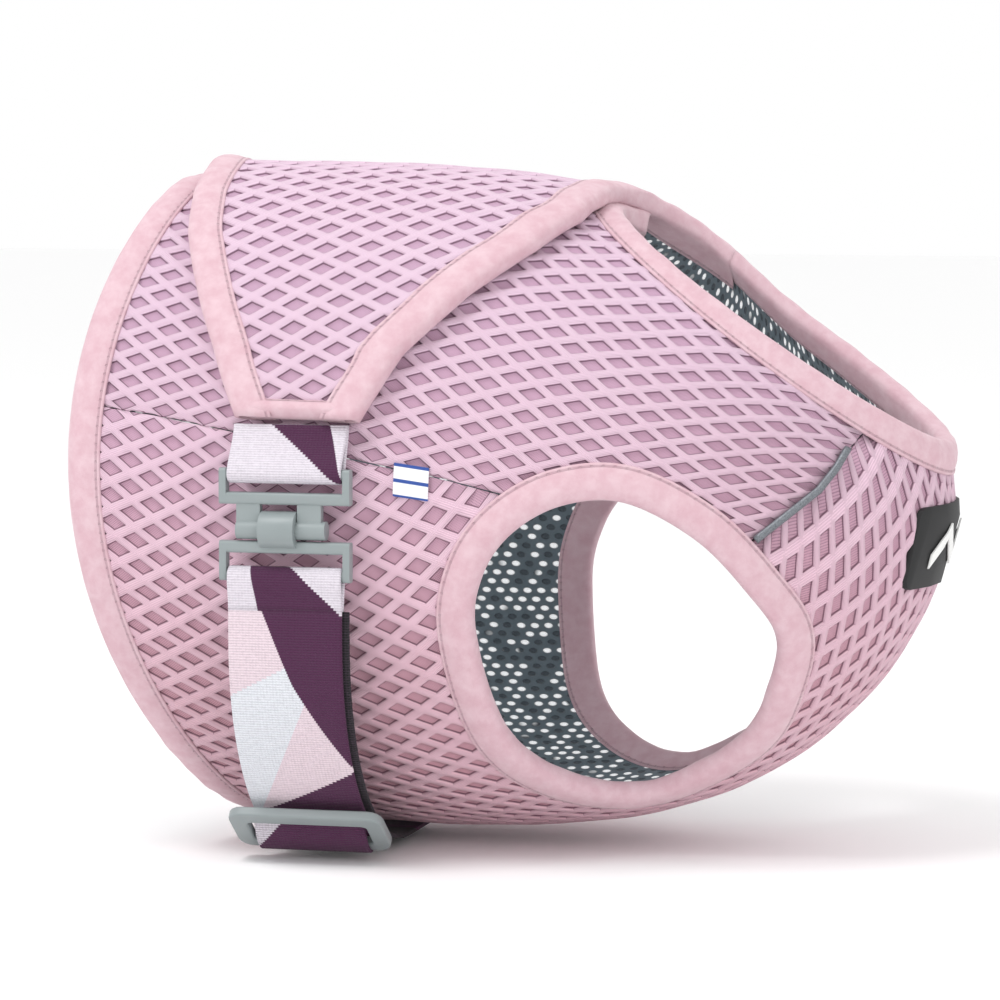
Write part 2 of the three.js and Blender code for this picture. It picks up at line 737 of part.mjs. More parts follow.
// Upper half: webbing frame, two legs and the round bar the hook sits on.
function buckleBarHalf() {
  const tongueLeft = BUCKLE_X + TONGUE_OFFSET - TONGUE_WIDTH / 2 - CLEARANCE;
  const tongueRight = BUCKLE_X + TONGUE_OFFSET + TONGUE_WIDTH / 2 + CLEARANCE;
  const legs = [tongueLeft - LEG_WIDTH, tongueRight].map((x) =>
    box(x, x + LEG_WIDTH, BAR_Y - 1.6, BAR_Y + 1.6, BAR_Z, UPPER_RAIL_Z + 1),
  );
  const bar = rod(BAR_RADIUS, tongueLeft - LEG_WIDTH, tongueRight + LEG_WIDTH + 1.5, BAR_Y, BAR_Z, 20);
  return webbingFrame(UPPER_RAIL_Z, UPPER_CROSSBAR_Z, 1).add(legs[0]).add(legs[1]).add(bar);
}

// Lower half: webbing frame and the tongue that curls forward over the bar.
function buckleHookHalf() {
  const inner = BAR_RADIUS + HOOK_CLEARANCE;
  const outer = inner + HOOK_THICKNESS;
  const outside = arcPoints(BAR_Y, BAR_Z, outer, 275, HOOK_TIP_ANGLE, 14);
  const inside = arcPoints(BAR_Y, BAR_Z, inner, HOOK_TIP_ANGLE, 275, 12);
  const outline = [...outside, ...inside].map((point) => [point.x, point.y]);
  const middle = BUCKLE_X + TONGUE_OFFSET;
  const tongue = frontPrism(outline, middle - TONGUE_WIDTH / 2, middle + TONGUE_WIDTH / 2);
  return webbingFrame(LOWER_RAIL_Z, LOWER_CROSSBAR_Z, -1).add(tongue);
}

const CROSSBAR_WRAP = CROSSBAR_RADIUS + CLEARANCE + WEBBING / 2;

// Elastic loop sewn into the wing tip and passed round the upper crossbar.
function upperLoop() {
  const middle = (wingEdge(WING_TIP_TURN, REAR) + wingEdge(WING_TIP_TURN, FRONT)) / 2;
  const tip = wrapPoint(middle, WING_TIP_TURN, -2);
  const topZ = tip.z - 2.4;
  const half = (WEBBING + CLEARANCE) / 2;
  const line = [
    new THREE.Vector2(tip.y - half, topZ),
    new THREE.Vector2(tip.y - half - 0.6, topZ - 3),
    ...arcPoints(BAR_Y, UPPER_CROSSBAR_Z, CROSSBAR_WRAP, 170, 370, 10),
    new THREE.Vector2(tip.y + half - 0.6, topZ - 3),
    new THREE.Vector2(tip.y + half, topZ),
  ];
  return webbing(line, WEBBING, BUCKLE_X, WEBBING_WIDTH);
}

// The strap drops straight from the hook, then follows an arc round the flank to under the belly.
const STRAP_Z = bellyCurve.getPoint(0.16).z - WEBBING / 2 - 1.2;
const ARC_Y = BAR_Y + 1 + STRAP_RADIUS;
const ARC_Z = STRAP_Z + STRAP_RADIUS;
const LAYER_STEP = WEBBING + 2 * CLEARANCE + 0.1;
const BACK_LAYER_SHIFT = 2;
const FOLD_END_Z = LOWER_CROSSBAR_Z - 12;
const ANCHOR_Y = ARC_Y + 10;
const ANCHOR_LENGTH = 27;

// Webbing folded round the hook's crossbar, closing up towards the two strap layers.
function hookFold() {
  const back = ARC_Y - STRAP_RADIUS;
  const line = [
    new THREE.Vector2(back - LAYER_STEP, FOLD_END_Z + CLEARANCE / 2),
    new THREE.Vector2(back - LAYER_STEP, FOLD_END_Z + 3),
    ...arcPoints(BAR_Y, LOWER_CROSSBAR_Z, CROSSBAR_WRAP, 190, -10, 10),
    new THREE.Vector2(back, FOLD_END_Z + 3),
    new THREE.Vector2(back, FOLD_END_Z + CLEARANCE / 2),
  ];
  return webbing(line, WEBBING, BUCKLE_X, WEBBING_WIDTH);
}

// Front layer of the strap, from the hook fold to just behind the slider.
function strapFront() {
  const radius = STRAP_RADIUS + LAYER_STEP;
  const line = [
    new THREE.Vector2(ARC_Y - radius, FOLD_END_Z - CLEARANCE / 2),
    ...arcPoints(ARC_Y, ARC_Z, radius, 180, 180 + SLIDER_ANGLE + 9, 12),
  ];
  return webbing(line, WEBBING, BUCKLE_X, WEBBING_WIDTH);
}

// Back layer of the strap, which carries on under the belly.
function strapBack() {
  const line = [
    new THREE.Vector2(ARC_Y - STRAP_RADIUS, FOLD_END_Z - CLEARANCE / 2),
    ...arcPoints(ARC_Y, ARC_Z, STRAP_RADIUS, 180, 270, 16),
    new THREE.Vector2(ANCHOR_Y - CLEARANCE / 2, STRAP_Z),
  ];
  return webbing(line, WEBBING, BUCKLE_X + BACK_LAYER_SHIFT, WEBBING_WIDTH);
}

// End of the strap sewn to the belly panel.
function strapAnchor() {
  const from = ANCHOR_Y + CLEARANCE / 2;
  const left = BUCKLE_X + BACK_LAYER_SHIFT - WEBBING_WIDTH / 2;
  const [under, top] = [STRAP_Z - WEBBING / 2, STRAP_Z + WEBBING / 2];
  return box(left, left + WEBBING_WIDTH, from, from + ANCHOR_LENGTH, under, top);
}

// The slider is drawn flat, x across, y up the strap, z outwards, then turned onto the arc.
function ontoStrap(solid) {
  const radius = STRAP_RADIUS + LAYER_STEP + WEBBING / 2 + CLEARANCE;
  const angle = THREE.MathUtils.degToRad(SLIDER_ANGLE);
  const outwards = new THREE.Vector3(0, -Math.cos(angle), -Math.sin(angle));
  const up = new THREE.Vector3(0, -Math.sin(angle), Math.cos(angle));
  const across = new THREE.Vector3(1, 0, 0);
  const matrix = new THREE.Matrix4().makeBasis(across, up, outwards);
  matrix.setPosition(outwards.multiplyScalar(radius).add(new THREE.Vector3(BUCKLE_X, ARC_Y, ARC_Z)));
  return solid.transform(matrix.elements);
}

function flatPlate(outline, hole, depth) {
  const shape = new THREE.Shape(outline.map(([x, y]) => new THREE.Vector2(x, y)));
  shape.holes.push(new THREE.Path(hole.map(([x, y]) => new THREE.Vector2(x, y))));
  const plate = new THREE.ExtrudeGeometry(shape, {
    depth: depth - 1,
    steps: 1,
    bevelSize: 0.5,
    bevelThickness: 0.5,
    bevelOffset: -0.5,
    bevelSegments: 1,
  });
  plate.translate(0, 0, 0.5);
  return plate;
}

const FOLD_SPACE = WEBBING + 2 * CLEARANCE;
const SLIDER_BAR = 4.5;
const SLIDER_TOP_RAIL = 6;

// Rectangular slider frame with one wide window above its bar.
function sliderFrame() {
  const windowHeight = SLIDER_HEIGHT - SLIDER_TOP_RAIL - SLIDER_BAR;
  const windowMiddle = SLIDER_HEIGHT / 2 - SLIDER_TOP_RAIL - windowHeight / 2;
  const outline = roundedRectangle(SLIDER_WIDTH, SLIDER_HEIGHT, 5, 4);
  const hole = roundedRectangle(WEBBING_WIDTH + 2 * SLIDER_ROOM, windowHeight, 1.5, 2)
    .map(([x, y]) => [x, y + windowMiddle])
    .reverse();
  const plate = flatPlate(outline, hole, SLIDER_DEPTH);
  plate.translate(0, 0, FOLD_SPACE);
  return ontoStrap(toManifold(plate));
}

// Webbing that comes through the slider's window from behind and folds round its bar.
function sliderFold() {
  const barTop = SLIDER_BAR - SLIDER_HEIGHT / 2;
  const windowTop = SLIDER_HEIGHT / 2 - SLIDER_TOP_RAIL;
  const middle = FOLD_SPACE + SLIDER_DEPTH / 2;
  const half = SLIDER_DEPTH / 2 + CLEARANCE + WEBBING / 2;
  const foldY = barTop - SLIDER_BAR / 2 - 1.3;
  const line = [
    new THREE.Vector2(windowTop - 1.2, WEBBING / 2 + CLEARANCE / 2),
    new THREE.Vector2(barTop + 2.5, middle + half),
    ...arcPoints(foldY, middle, half, 90, 270, 10),
    new THREE.Vector2(barTop + 1, middle - half),
  ];
  return ontoStrap(webbing(line, WEBBING, 0, WEBBING_WIDTH));
}

// ---- assembly -----------------------------------------------------------------------------

const COLOURS = {
  knit: { color: 0xd9b9c6, roughness: 0.85, metalness: 0 },
  core: { color: 0xe9e4dd, roughness: 0.9, metalness: 0 },
  lining: { color: 0x596068, roughness: 0.8, metalness: 0 },
  tape: { color: 0xcf9fab, roughness: 0.75, metalness: 0 },
  reflective: { color: 0x8d9196, roughness: 0.35, metalness: 0.2 },
  patterned: { color: 0xe7dfe8, roughness: 0.8, metalness: 0 },
  purple: { color: 0x5c2455, roughness: 0.8, metalness: 0 },
  black: { color: 0x1f1d20, roughness: 0.8, metalness: 0 },
  plastic: { color: 0xc3c8c2, roughness: 0.45, metalness: 0 },
  rubber: { color: 0x1b1b1d, roughness: 0.6, metalness: 0 },
  white: { color: 0xf2f2f0, roughness: 0.6, metalness: 0 },
};

const vest = new THREE.Group();
vest.name = 'cooling_vest';

function addNode(name, solid, look) {
  const mesh = new THREE.Mesh(toGeometry(solid), new THREE.MeshStandardMaterial(COLOURS[look]));
  mesh.name = name;
  vest.add(mesh);
}

const LAYER_LOOKS = { outer: 'knit', core: 'core', lining: 'lining' };
for (const [layer, offsets] of Object.entries(LAYERS)) {
  const look = LAYER_LOOKS[layer];
  addNode(`chest_belly_${layer}`, chestBellyPanel(offsets), look);
  addNode(`right_back_${layer}`, rightBackPanel(offsets), look);
  addNode(`left_back_${layer}`, leftBackPanel(offsets), look);
  addNode(`wing_${layer}`, wingPanel(offsets), look);
}

addNode('tail_edge_tape', ringTape(false), 'tape');
addNode('neck_edge_tape', ringTape(true), 'tape');
addNode('right_end_tape', rightEndTape(), 'tape');
addNode('wing_rear_tape', wingSideTape(REAR), 'tape');
addNode('wing_front_tape', wingSideTape(FRONT), 'tape');
addNode('wing_tip_tape', wingTipTape(), 'tape');
addNode('right_armhole_tape', armholeTape(-1), 'tape');
addNode('left_armhole_tape', armholeTape(1), 'tape');

addNode('right_piping', piping(-1), 'reflective');
addNode('left_piping', piping(1), 'reflective');
addNode('right_seam_tape', seamTape(-1), 'tape');
addNode('left_seam_tape', seamTape(1), 'tape');
addNode('chest_badge', chestBadge(), 'rubber');
addNode('badge_mark', badgeMark(), 'white');
addNode('side_tab', sideTab(), 'white');

addNode('upper_loop', upperLoop(), 'patterned');
addNode('buckle_bar_half', buckleBarHalf(), 'plastic');
addNode('buckle_hook_half', buckleHookHalf(), 'plastic');
addNode('hook_fold', hookFold(), 'patterned');
addNode('strap_front', strapFront(), 'patterned');
addNode('strap_back', strapBack(), 'black');
addNode('strap_anchor', strapAnchor(), 'purple');
addNode('slider_frame', sliderFrame(), 'plastic');
addNode('slider_fold', sliderFold(), 'purple');

export default vest;
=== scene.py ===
# %% [markdown]
# Cooling vest for a medium dog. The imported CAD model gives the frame: where each panel, tape,
# strap and buckle part lies and how it moves. This file gives them their cloth, webbing and
# plastic. Every length below is in millimetres until it is put into a mesh, which is in metres.

# %% Load the frame
import bpy
import bmesh
import math
import numpy as np
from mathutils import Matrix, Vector


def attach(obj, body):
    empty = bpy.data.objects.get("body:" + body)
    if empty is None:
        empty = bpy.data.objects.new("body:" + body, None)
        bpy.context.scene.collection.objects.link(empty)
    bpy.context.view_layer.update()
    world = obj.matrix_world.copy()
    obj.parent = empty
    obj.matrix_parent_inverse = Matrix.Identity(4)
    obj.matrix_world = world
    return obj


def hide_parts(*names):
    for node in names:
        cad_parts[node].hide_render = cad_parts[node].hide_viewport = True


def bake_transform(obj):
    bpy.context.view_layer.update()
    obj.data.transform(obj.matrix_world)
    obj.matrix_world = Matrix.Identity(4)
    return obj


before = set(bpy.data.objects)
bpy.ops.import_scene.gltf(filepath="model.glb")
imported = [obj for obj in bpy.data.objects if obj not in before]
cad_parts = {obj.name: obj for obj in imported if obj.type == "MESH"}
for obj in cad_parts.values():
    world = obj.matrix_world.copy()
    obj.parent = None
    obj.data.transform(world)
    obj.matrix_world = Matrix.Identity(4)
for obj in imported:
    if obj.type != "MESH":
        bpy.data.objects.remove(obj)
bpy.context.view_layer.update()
MM = 0.001

# %% [markdown]
# The worn vest is a shell that runs round the dog's body. Its belly line and back line are two
# smooth curves from tail to neck, and an oval joins them at each station. The same stations shape
# the CAD panels, so cloth built on this shell lies where the panels lie.

# %% Body shell
BELLY = np.array([
    (-91, 84, -109), (-42, 92, -113), (12, 94, -113), (62, 92, -106),
    (105, 85, -87), (139, 74, -54), (158, 62, -12), (158, 49, 24),
], float)
BACK = np.array([(-113, 0, 111.5), (-72, 0, 110.8), (-30, 0, 110), (12, 0, 107), (45, 0, 101.5)], float)
FLANK_BULGE, BULGE_SPAN, FAN_POWER = 27, 0.45, 2.4


def smooth_curve(stations, t):
    """Points of the curve that passes through the stations evenly, t from 0 to 1."""
    ends = [2 * stations[0] - stations[1], *stations, 2 * stations[-1] - stations[-2]]
    ends = np.array(ends)
    where = np.asarray(t, float) * (len(stations) - 1)
    i = np.clip(np.floor(where), 0, len(stations) - 2).astype(int)
    w = (where - i)[..., None]
    p0, p1, p2, p3 = ends[i], ends[i + 1], ends[i + 2], ends[i + 3]
    return p1 + 0.5 * w * (p2 - p0 + w * (2 * p0 - 5 * p1 + 4 * p2 - p3 + w * (3 * (p1 - p2) + p3 - p0)))


def shell(s, phi):
    """Outer cloth face: s runs from tail 0 to neck 1, phi is 0 on the spine and -pi/2 on the right flank."""
    s, phi = np.broadcast_arrays(np.asarray(s, float), np.asarray(phi, float))
    left = 1 - s
    belly = smooth_curve(BELLY, s)
    back = smooth_curve(BACK, 1 - np.sign(left) * np.abs(left) ** FAN_POWER)
    sine, cosine = np.sin(phi), np.cos(phi)
    bulge = FLANK_BULGE * np.maximum(0, 1 - s / BULGE_SPAN) ** 2
    x = (back[..., 0] + belly[..., 0]) / 2 + (back[..., 0] - belly[..., 0]) / 2 * cosine - bulge * sine**2
    z = (back[..., 2] + belly[..., 2]) / 2 + (back[..., 2] - belly[..., 2]) / 2 * cosine
    return np.stack([x, belly[..., 1] * sine, z], -1)


def shell_normal(s, phi, step=0.01):
    s = np.clip(s, step, 1 - step)
    along = shell(s + step, phi) - shell(s - step, phi)
    around = shell(s, phi + step) - shell(s, phi - step)
    n = np.cross(along, around)
    return n / np.linalg.norm(n, axis=-1, keepdims=True)


print("shell at the girth:", shell(0.35, -math.pi / 2).round(1))

# %% [markdown]
# Cloth is laid out by length, so u is the share of the way from tail to neck along a rib of the
# shell. The wrap is one spiral: its angle starts at 0 on the spine, falls down the right flank,
# passes the belly at -180 and the spine again at -360, and ends at the tip of the wing at -432.
# The wing stands a little off the panel under it.

# %% Lengths along the shell
RIBS = 120
share = np.linspace(0, 1, 161)
rib_angle = np.arange(RIBS + 1) * 2 * math.pi / RIBS
ribs = shell(share[None, :], rib_angle[:, None])
legs = np.linalg.norm(np.diff(ribs, axis=1), axis=2)
travelled = np.concatenate([np.zeros((RIBS + 1, 1)), np.cumsum(legs, axis=1)], axis=1)
rib_length = travelled[:, -1]
s_table = np.array([np.interp(share, t / t[-1], share) for t in travelled])
u_table = travelled / rib_length[:, None]
WING_LIFT = 7.1


def table(values, u, angle):
    """Reads a rib-by-share table at u and at an angle in degrees."""
    a = np.mod(np.asarray(angle, float), 360) / 360 * RIBS
    i = np.minimum(np.floor(a).astype(int), RIBS - 1)
    b = np.clip(u, 0, 1) * 160
    j = np.minimum(np.floor(b).astype(int), 159)
    fa, fb = a - i, b - j
    top = values[i, j] * (1 - fb) + values[i, j + 1] * fb
    low = values[i + 1, j] * (1 - fb) + values[i + 1, j + 1] * fb
    return top * (1 - fa) + low * fa + (np.asarray(u) - np.clip(u, 0, 1))


def length_at(angle):
    a = np.mod(np.asarray(angle, float), 360) / 360 * RIBS
    return np.interp(a, np.arange(RIBS + 1), rib_length)


def lift(angle):
    t = np.clip((-np.asarray(angle, float) - 270) / 48, 0, 1)
    return WING_LIFT * t * t * (3 - 2 * t)


def on_wrap(u, angle, height=0.0):
    """Point of the wrap at u and angle, height above the outer cloth face, and the normal there."""
    u, angle = np.broadcast_arrays(np.asarray(u, float), np.asarray(angle, float))
    s = table(s_table, u, angle)
    phi = np.radians(angle)
    n = shell_normal(s, phi)
    return shell(s, phi) + n * (height + lift(angle))[..., None], n


print("rib on the spine %.0f mm, on the belly %.0f mm" % (length_at(0), length_at(-180)))

# %% [markdown]
# Edges: the armholes and the seam between back and chest are drawn from the side. Each edge gives
# a distance in millimetres that is positive on the side the cloth is kept.

# %% Edges of the panels
ARMHOLE = np.array([
    (13, -38), (16, -18), (26, -3), (43, 7), (64, 8), (87, -5), (103, -24),
    (111, -40), (107, -58), (98, -75), (80, -88), (59, -96), (36, -90), (20, -73),
], float)
SEAM = np.array([
    (-150, 42), (-125, 37), (-100, 34), (-70, 29), (-24, 20), (3, 15), (28, 9),
    (60, -40), (92, -14), (104, -5), (123, 11), (133, 25), (150, 48),
], float)
WING_EDGES = np.array([
    (-200, 0, 1), (-324, 0, 1), (-336, 0.015, 1), (-348, 0.04, 0.995), (-360, 0.06, 0.985),
    (-372, 0.082, 0.95), (-384, 0.1, 0.885), (-396, 0.132, 0.77), (-408, 0.178, 0.63),
    (-420, 0.222, 0.508), (-432, 0.254, 0.425), (-444, 0.27, 0.375),
])
WING_TIP, RIGHT_END = -432, 24


def armhole_line(t):
    """Armhole outline seen from the side, t from 0 to 1 round the hole."""
    closed = np.concatenate([ARMHOLE[-1:], ARMHOLE, ARMHOLE[:2]])
    where = np.mod(t, 1) * len(ARMHOLE)
    i = np.floor(where).astype(int)
    w = (where - i)[..., None]
    p0, p1, p2, p3 = closed[i], closed[i + 1], closed[i + 2], closed[np.minimum(i + 3, len(closed) - 1)]
    return p1 + 0.5 * w * (p2 - p0 + w * (2 * p0 - 5 * p1 + 4 * p2 - p3 + w * (3 * (p1 - p2) + p3 - p0)))


def from_outline(ring, q):
    """Distance of flat points q outside the closed outline ring."""
    a, b = ring[:-1], ring[1:]
    ab = b - a
    t = np.clip(((q[:, None] - a) * ab).sum(2) / (ab**2).sum(1), 0, 1)
    away = np.linalg.norm(q[:, None] - a - t[..., None] * ab, axis=2).min(1)
    rise = np.where(ab[:, 1] == 0, 1e-9, ab[:, 1])
    crosses = (a[:, 1] > q[:, 1:]) != (b[:, 1] > q[:, 1:])
    crosses &= q[:, :1] < a[:, 0] + (q[:, 1:] - a[:, 1]) * ab[:, 0] / rise
    return np.where(crosses.sum(1) % 2 == 1, -away, away)


def from_armhole(p):
    """Distance outside the armhole, seen from the side."""
    ring = armhole_line(np.linspace(0, 1, 113))
    parts = np.array_split(p[:, [0, 2]], len(p) // 4000 + 1)
    return np.concatenate([from_outline(ring, part) for part in parts])


def below_seam(p):
    """Distance below the seam line, seen from the side."""
    level = np.interp(p[:, 0], SEAM[:, 0], SEAM[:, 1])
    slope = np.interp(p[:, 0] + 1, SEAM[:, 0], SEAM[:, 1]) - level
    return (level - p[:, 2]) / np.sqrt(1 + slope**2)


def wing_edge(angle, side):
    """u of the wing's rear (1) or front (2) edge."""
    return np.interp(-np.asarray(angle, float), -WING_EDGES[:, 0], WING_EDGES[:, side])


def wing_slant(angle, side):
    """How much longer a step square to the wing's edge is than the same step taken along u."""
    p = on_wrap(wing_edge(angle + 3, side), angle + 3)[0] - on_wrap(wing_edge(angle - 3, side), angle - 3)[0]
    u = np.clip(wing_edge(angle, side), 0.02, 0.98)
    q = on_wrap(u + 0.01, angle)[0] - on_wrap(u - 0.01, angle)[0]
    cross = np.cross(p, q)
    return np.linalg.norm(cross, axis=-1) / np.linalg.norm(p, axis=-1) / np.linalg.norm(q, axis=-1)


MM_PER_DEGREE = 1.62
print("armhole is %.0f mm long" % np.ptp(armhole_line(np.linspace(0, 1, 90))[:, 0]))

# %% [markdown]
# Materials are node graphs. `new_material` gives a material with its shader and the one function
# that adds a node: it sets the node's settings, then fills its inputs in order with numbers or
# with links. A capital kind, such as MULTIPLY, is a Math node. `linear` turns a hex colour, as it
# is picked on a screen, into the linear values that shaders use.

# %% Helpers for materials
SMOOTH, COLOUR = {"interpolation_type": "SMOOTHSTEP"}, {"data_type": "RGBA"}
TURN = 2 * math.pi


def linear(code):
    rgb = [int(code[i:i + 2], 16) / 255 for i in (0, 2, 4)]
    return [c / 12.92 if c <= 0.04045 else ((c + 0.055) / 1.055) ** 2.4 for c in rgb] + [1.0]


def new_material(name, roughness, sheen=0.0, metallic=0.0, ior=1.5):
    material = bpy.data.materials.new(name)
    material.use_nodes = True
    tree = material.node_tree
    tree.nodes.clear()

    def add(kind, *terms, into=None, **settings):
        if kind.isupper():
            kind, settings = "Math", {"operation": kind}
        node = tree.nodes.new("ShaderNode" + kind)
        for key, setting in settings.items():
            setattr(node, key, setting)
        inputs = into or [socket.identifier for socket in node.inputs if socket.enabled]
        by_name = {socket.identifier: socket for socket in node.inputs}
        for key, term in zip(inputs, terms):
            socket = by_name[key]
            if isinstance(term, bpy.types.Node):
                term = next(output for output in term.outputs if output.enabled)
            if isinstance(term, bpy.types.NodeSocket):
                tree.links.new(term, socket)
            else:
                socket.default_value = term
        return node

    shader = add("BsdfPrincipled", roughness, sheen, 0.45, metallic, ior,
                 into=["Roughness", "Sheen Weight", "Sheen Roughness", "Metallic", "IOR"])
    add("OutputMaterial", shader)
    return material, add, shader


def finish_material(material, shader, colour, relief=None, **more):
    """Links the colour, the relief and whatever else drives the shader."""
    links = {"Base_Color": colour, "Normal": relief, **more}
    for key, node in links.items():
        if node is not None:
            output = next(output for output in node.outputs if output.enabled)
            material.node_tree.links.new(output, shader.inputs[key.replace("_", " ")])
    print("made", material.name)
    return material


RELIEF_INPUTS = ["Strength", "Distance", "Height", "Normal"]
print("linear pink:", [round(c, 3) for c in linear("DDBFD0")])

# %% [markdown]
# The outer cloth is a warp-knitted polyester mesh: flat ribbons about 3 mm wide cross in diamonds
# over a fine ground knit. The ribbons have real height in the mesh, so the material only draws the
# lines of their loops, the pin holes of the ground and the shadow along each ribbon's foot. Its
# coordinates count ribbons, one unit from each ribbon to the next, which is about 7 mm.

# %% Outer knit
def diamond_knit_material():
    material, add, shader = new_material("diamond_warp_knit", roughness=0.82, sheen=0.12)
    parts = add("SeparateXYZ", add("UVMap", uv_map="ribbons"))
    a, b = parts.outputs[0], parts.outputs[1]
    near_a, near_b = (add("ABSOLUTE", add("SUBTRACT", add("FRACT", add("ADD", v, 0.5)), 0.5)) for v in (a, b))
    nearest = add("MINIMUM", near_a, near_b)
    ground = add("MapRange", nearest, 0.178, 0.202, **SMOOTH)
    # 13 lines to a unit run along a ribbon, about 0.6 mm apart
    lines_a, lines_b = (add("SINE", add("MULTIPLY", v, TURN * 13)) for v in (a, b))
    a_on_top = add("MapRange", add("SUBTRACT", near_b, near_a), -0.02, 0.02, **SMOOTH)
    lines = add("ADD", add("MULTIPLY", lines_a, a_on_top),
                add("MULTIPLY", lines_b, add("SUBTRACT", 1.0, a_on_top)))
    # pin holes of the ground are about 0.8 mm apart
    holes = add("MULTIPLY", add("SINE", add("MULTIPLY", add("ADD", a, b), TURN * 8.5)),
                add("SINE", add("MULTIPLY", add("SUBTRACT", a, b), TURN * 6)))
    pin = add("MapRange", holes, 0.3, 0.8, **SMOOTH)
    place = add("TexCoord").outputs["Object"]
    height = add("SeparateXYZ", place).outputs[2]
    # the colour is pinker and darker low down, and lighter and nearer lilac high on the back;
    # the lighter top is painted light from above
    high = add("MapRange", height, -0.10, 0.09, **SMOOTH)
    ribbon = add("Mix", high, linear("E3B4C0"), linear("E3C5DA"), **COLOUR)
    cloudy = add("MULTIPLY", add("TexNoise", place, 55.0, 3.0), 0.35)
    ribbon = add("Mix", cloudy, ribbon, linear("E9D4DF"), **COLOUR)
    between = add("MULTIPLY", add("MapRange", lines, 0.2, -1.0, **SMOOTH), 0.35)
    ribbon = add("Mix", between, ribbon, linear("A78497"), **COLOUR)
    base = add("Mix", high, linear("C796A1"), linear("C9A5BE"), **COLOUR)
    base = add("Mix", add("MULTIPLY", pin, 0.75), base, linear("5A3C4F"), **COLOUR)
    colour = add("Mix", ground, ribbon, base, **COLOUR)
    foot = add("MULTIPLY", add("MapRange", nearest, 0.178, 0.198, **SMOOTH),
               add("MapRange", nearest, 0.25, 0.208, **SMOOTH))
    colour = add("Mix", add("MULTIPLY", foot, 0.75), colour, linear("583347"), **COLOUR)
    raised = add("MULTIPLY", add("SUBTRACT", 1.0, ground), add("MULTIPLY", lines, 0.5))
    sunk = add("MULTIPLY", add("MULTIPLY", ground, pin), -0.9)
    relief = add("Bump", 0.8, 0.22 * MM, add("ADD", raised, sunk), into=RELIEF_INPUTS)
    return finish_material(material, shader, colour, relief)


knit = diamond_knit_material()

# %% [markdown]
# The lining is an open slate-grey mesh. Its oval holes run in rows, and holes picked at random are
# painted pale and glow a little: painted light, as daylight coming through them from outside. One
# hole is about 5 mm by 3 mm.

# %% Lining mesh
def lining_material():
    material, add, shader = new_material("open_mesh_lining", roughness=0.62, sheen=0.15)
    uv = add("UVMap", uv_map="millimetres")
    parts = add("SeparateXYZ", uv)
    row = add("MULTIPLY", parts.outputs[1], 1 / 3.0)
    stagger = add("MULTIPLY", add("MODULO", add("FLOOR", row), 2.0), 0.5)
    column = add("ADD", add("MULTIPLY", parts.outputs[0], 1 / 5.2), stagger)
    across, down = (add("SUBTRACT", add("FRACT", v), 0.5) for v in (column, row))
    away = add("SQRT", add("ADD", add("MULTIPLY", across, across), add("MULTIPLY", down, down)))
    hole = add("MapRange", away, 0.36, 0.22, **SMOOTH)
    cell = add("CombineXYZ", add("FLOOR", column), add("FLOOR", row))
    chance = add("TexWhiteNoise", cell, noise_dimensions="2D")
    patch = add("MULTIPLY", add("TexNoise", uv, 0.045, 1.0), 1.2)
    # painted light: random holes are painted near white where daylight comes through them
    painted_light_holes = add("MULTIPLY", hole, add("MapRange", add("ADD", chance, patch), 1.02, 1.12, **SMOOTH))
    colour = add("Mix", hole, linear("5F6E76"), linear("323D45"), **COLOUR)
    colour = add("Mix", painted_light_holes, colour, linear("F4F8F9"), **COLOUR)
    yarn = add("MULTIPLY", add("TexNoise", uv, 1.4, 2.0), 0.4)
    colour = add("Mix", yarn, colour, linear("7A878F"), **COLOUR)
    relief = add("Bump", 0.9, 0.7 * MM, add("SUBTRACT", 1.0, hole), into=RELIEF_INPUTS)
    # painted light: the pale holes glow, as daylight coming through them from outside
    shader.inputs["Emission Color"].default_value = (1, 1, 1, 1)
    return finish_material(material, shader, colour, relief, Emission_Strength=add("MULTIPLY", painted_light_holes, 0.45))


lining = lining_material()

# %% [markdown]
# The binding is a brushed stretch tape, matt and slightly mottled, with a row of lockstitch near
# its inner edge. Its coordinates are millimetres: across the tape, then along it.

# %% Binding tape
STITCH, STITCH_LINE = 3.0, 10.7


def tape_material():
    material, add, shader = new_material("brushed_binding_tape", roughness=0.9, sheen=0.18)
    parts = add("SeparateXYZ", add("UVMap", uv_map="millimetres"))
    place = add("TexCoord").outputs["Object"]
    mottle = add("TexNoise", place, 190.0, 6.0, 0.6)
    fuzz = add("TexNoise", place, 2600.0, 3.0)
    patches = add("MapRange", mottle, 0.25, 0.8, **SMOOTH)
    colour = add("Mix", patches, linear("C9A0AB"), linear("D7B9C1"), **COLOUR)
    colour = add("Mix", add("MULTIPLY", fuzz, 0.22), colour, linear("DECCD1"), **COLOUR)
    along = add("FRACT", add("MULTIPLY", parts.outputs[1], 1 / STITCH))
    beat = add("ABSOLUTE", add("SUBTRACT", along, 0.5))
    line = add("ABSOLUTE", add("SUBTRACT", parts.outputs[0], STITCH_LINE))
    # painted shade: the pits where each stitch goes into the tape are darkened
    pit = add("MULTIPLY", add("MapRange", beat, 0.32, 0.46, **SMOOTH),
              add("MapRange", line, 0.55, 0.25, **SMOOTH))
    thread = add("MULTIPLY", add("MapRange", beat, 0.40, 0.30, **SMOOTH),
                 add("MapRange", line, 0.42, 0.22, **SMOOTH))
    colour = add("Mix", add("MULTIPLY", pit, 0.32), colour, linear("65414F"), **COLOUR)
    colour = add("Mix", add("MULTIPLY", thread, 0.35), colour, linear("956F7D"), **COLOUR)
    relief = add("Bump", 0.5, 0.35 * MM, mottle, into=RELIEF_INPUTS)
    relief = add("Bump", 0.6, 0.12 * MM, fuzz, relief, into=RELIEF_INPUTS)
    sewn = add("SUBTRACT", thread, add("MULTIPLY", pit, 1.3))
    relief = add("Bump", 0.8, 0.25 * MM, sewn, relief, into=RELIEF_INPUTS)
    return finish_material(material, shader, colour, relief)


tape = tape_material()

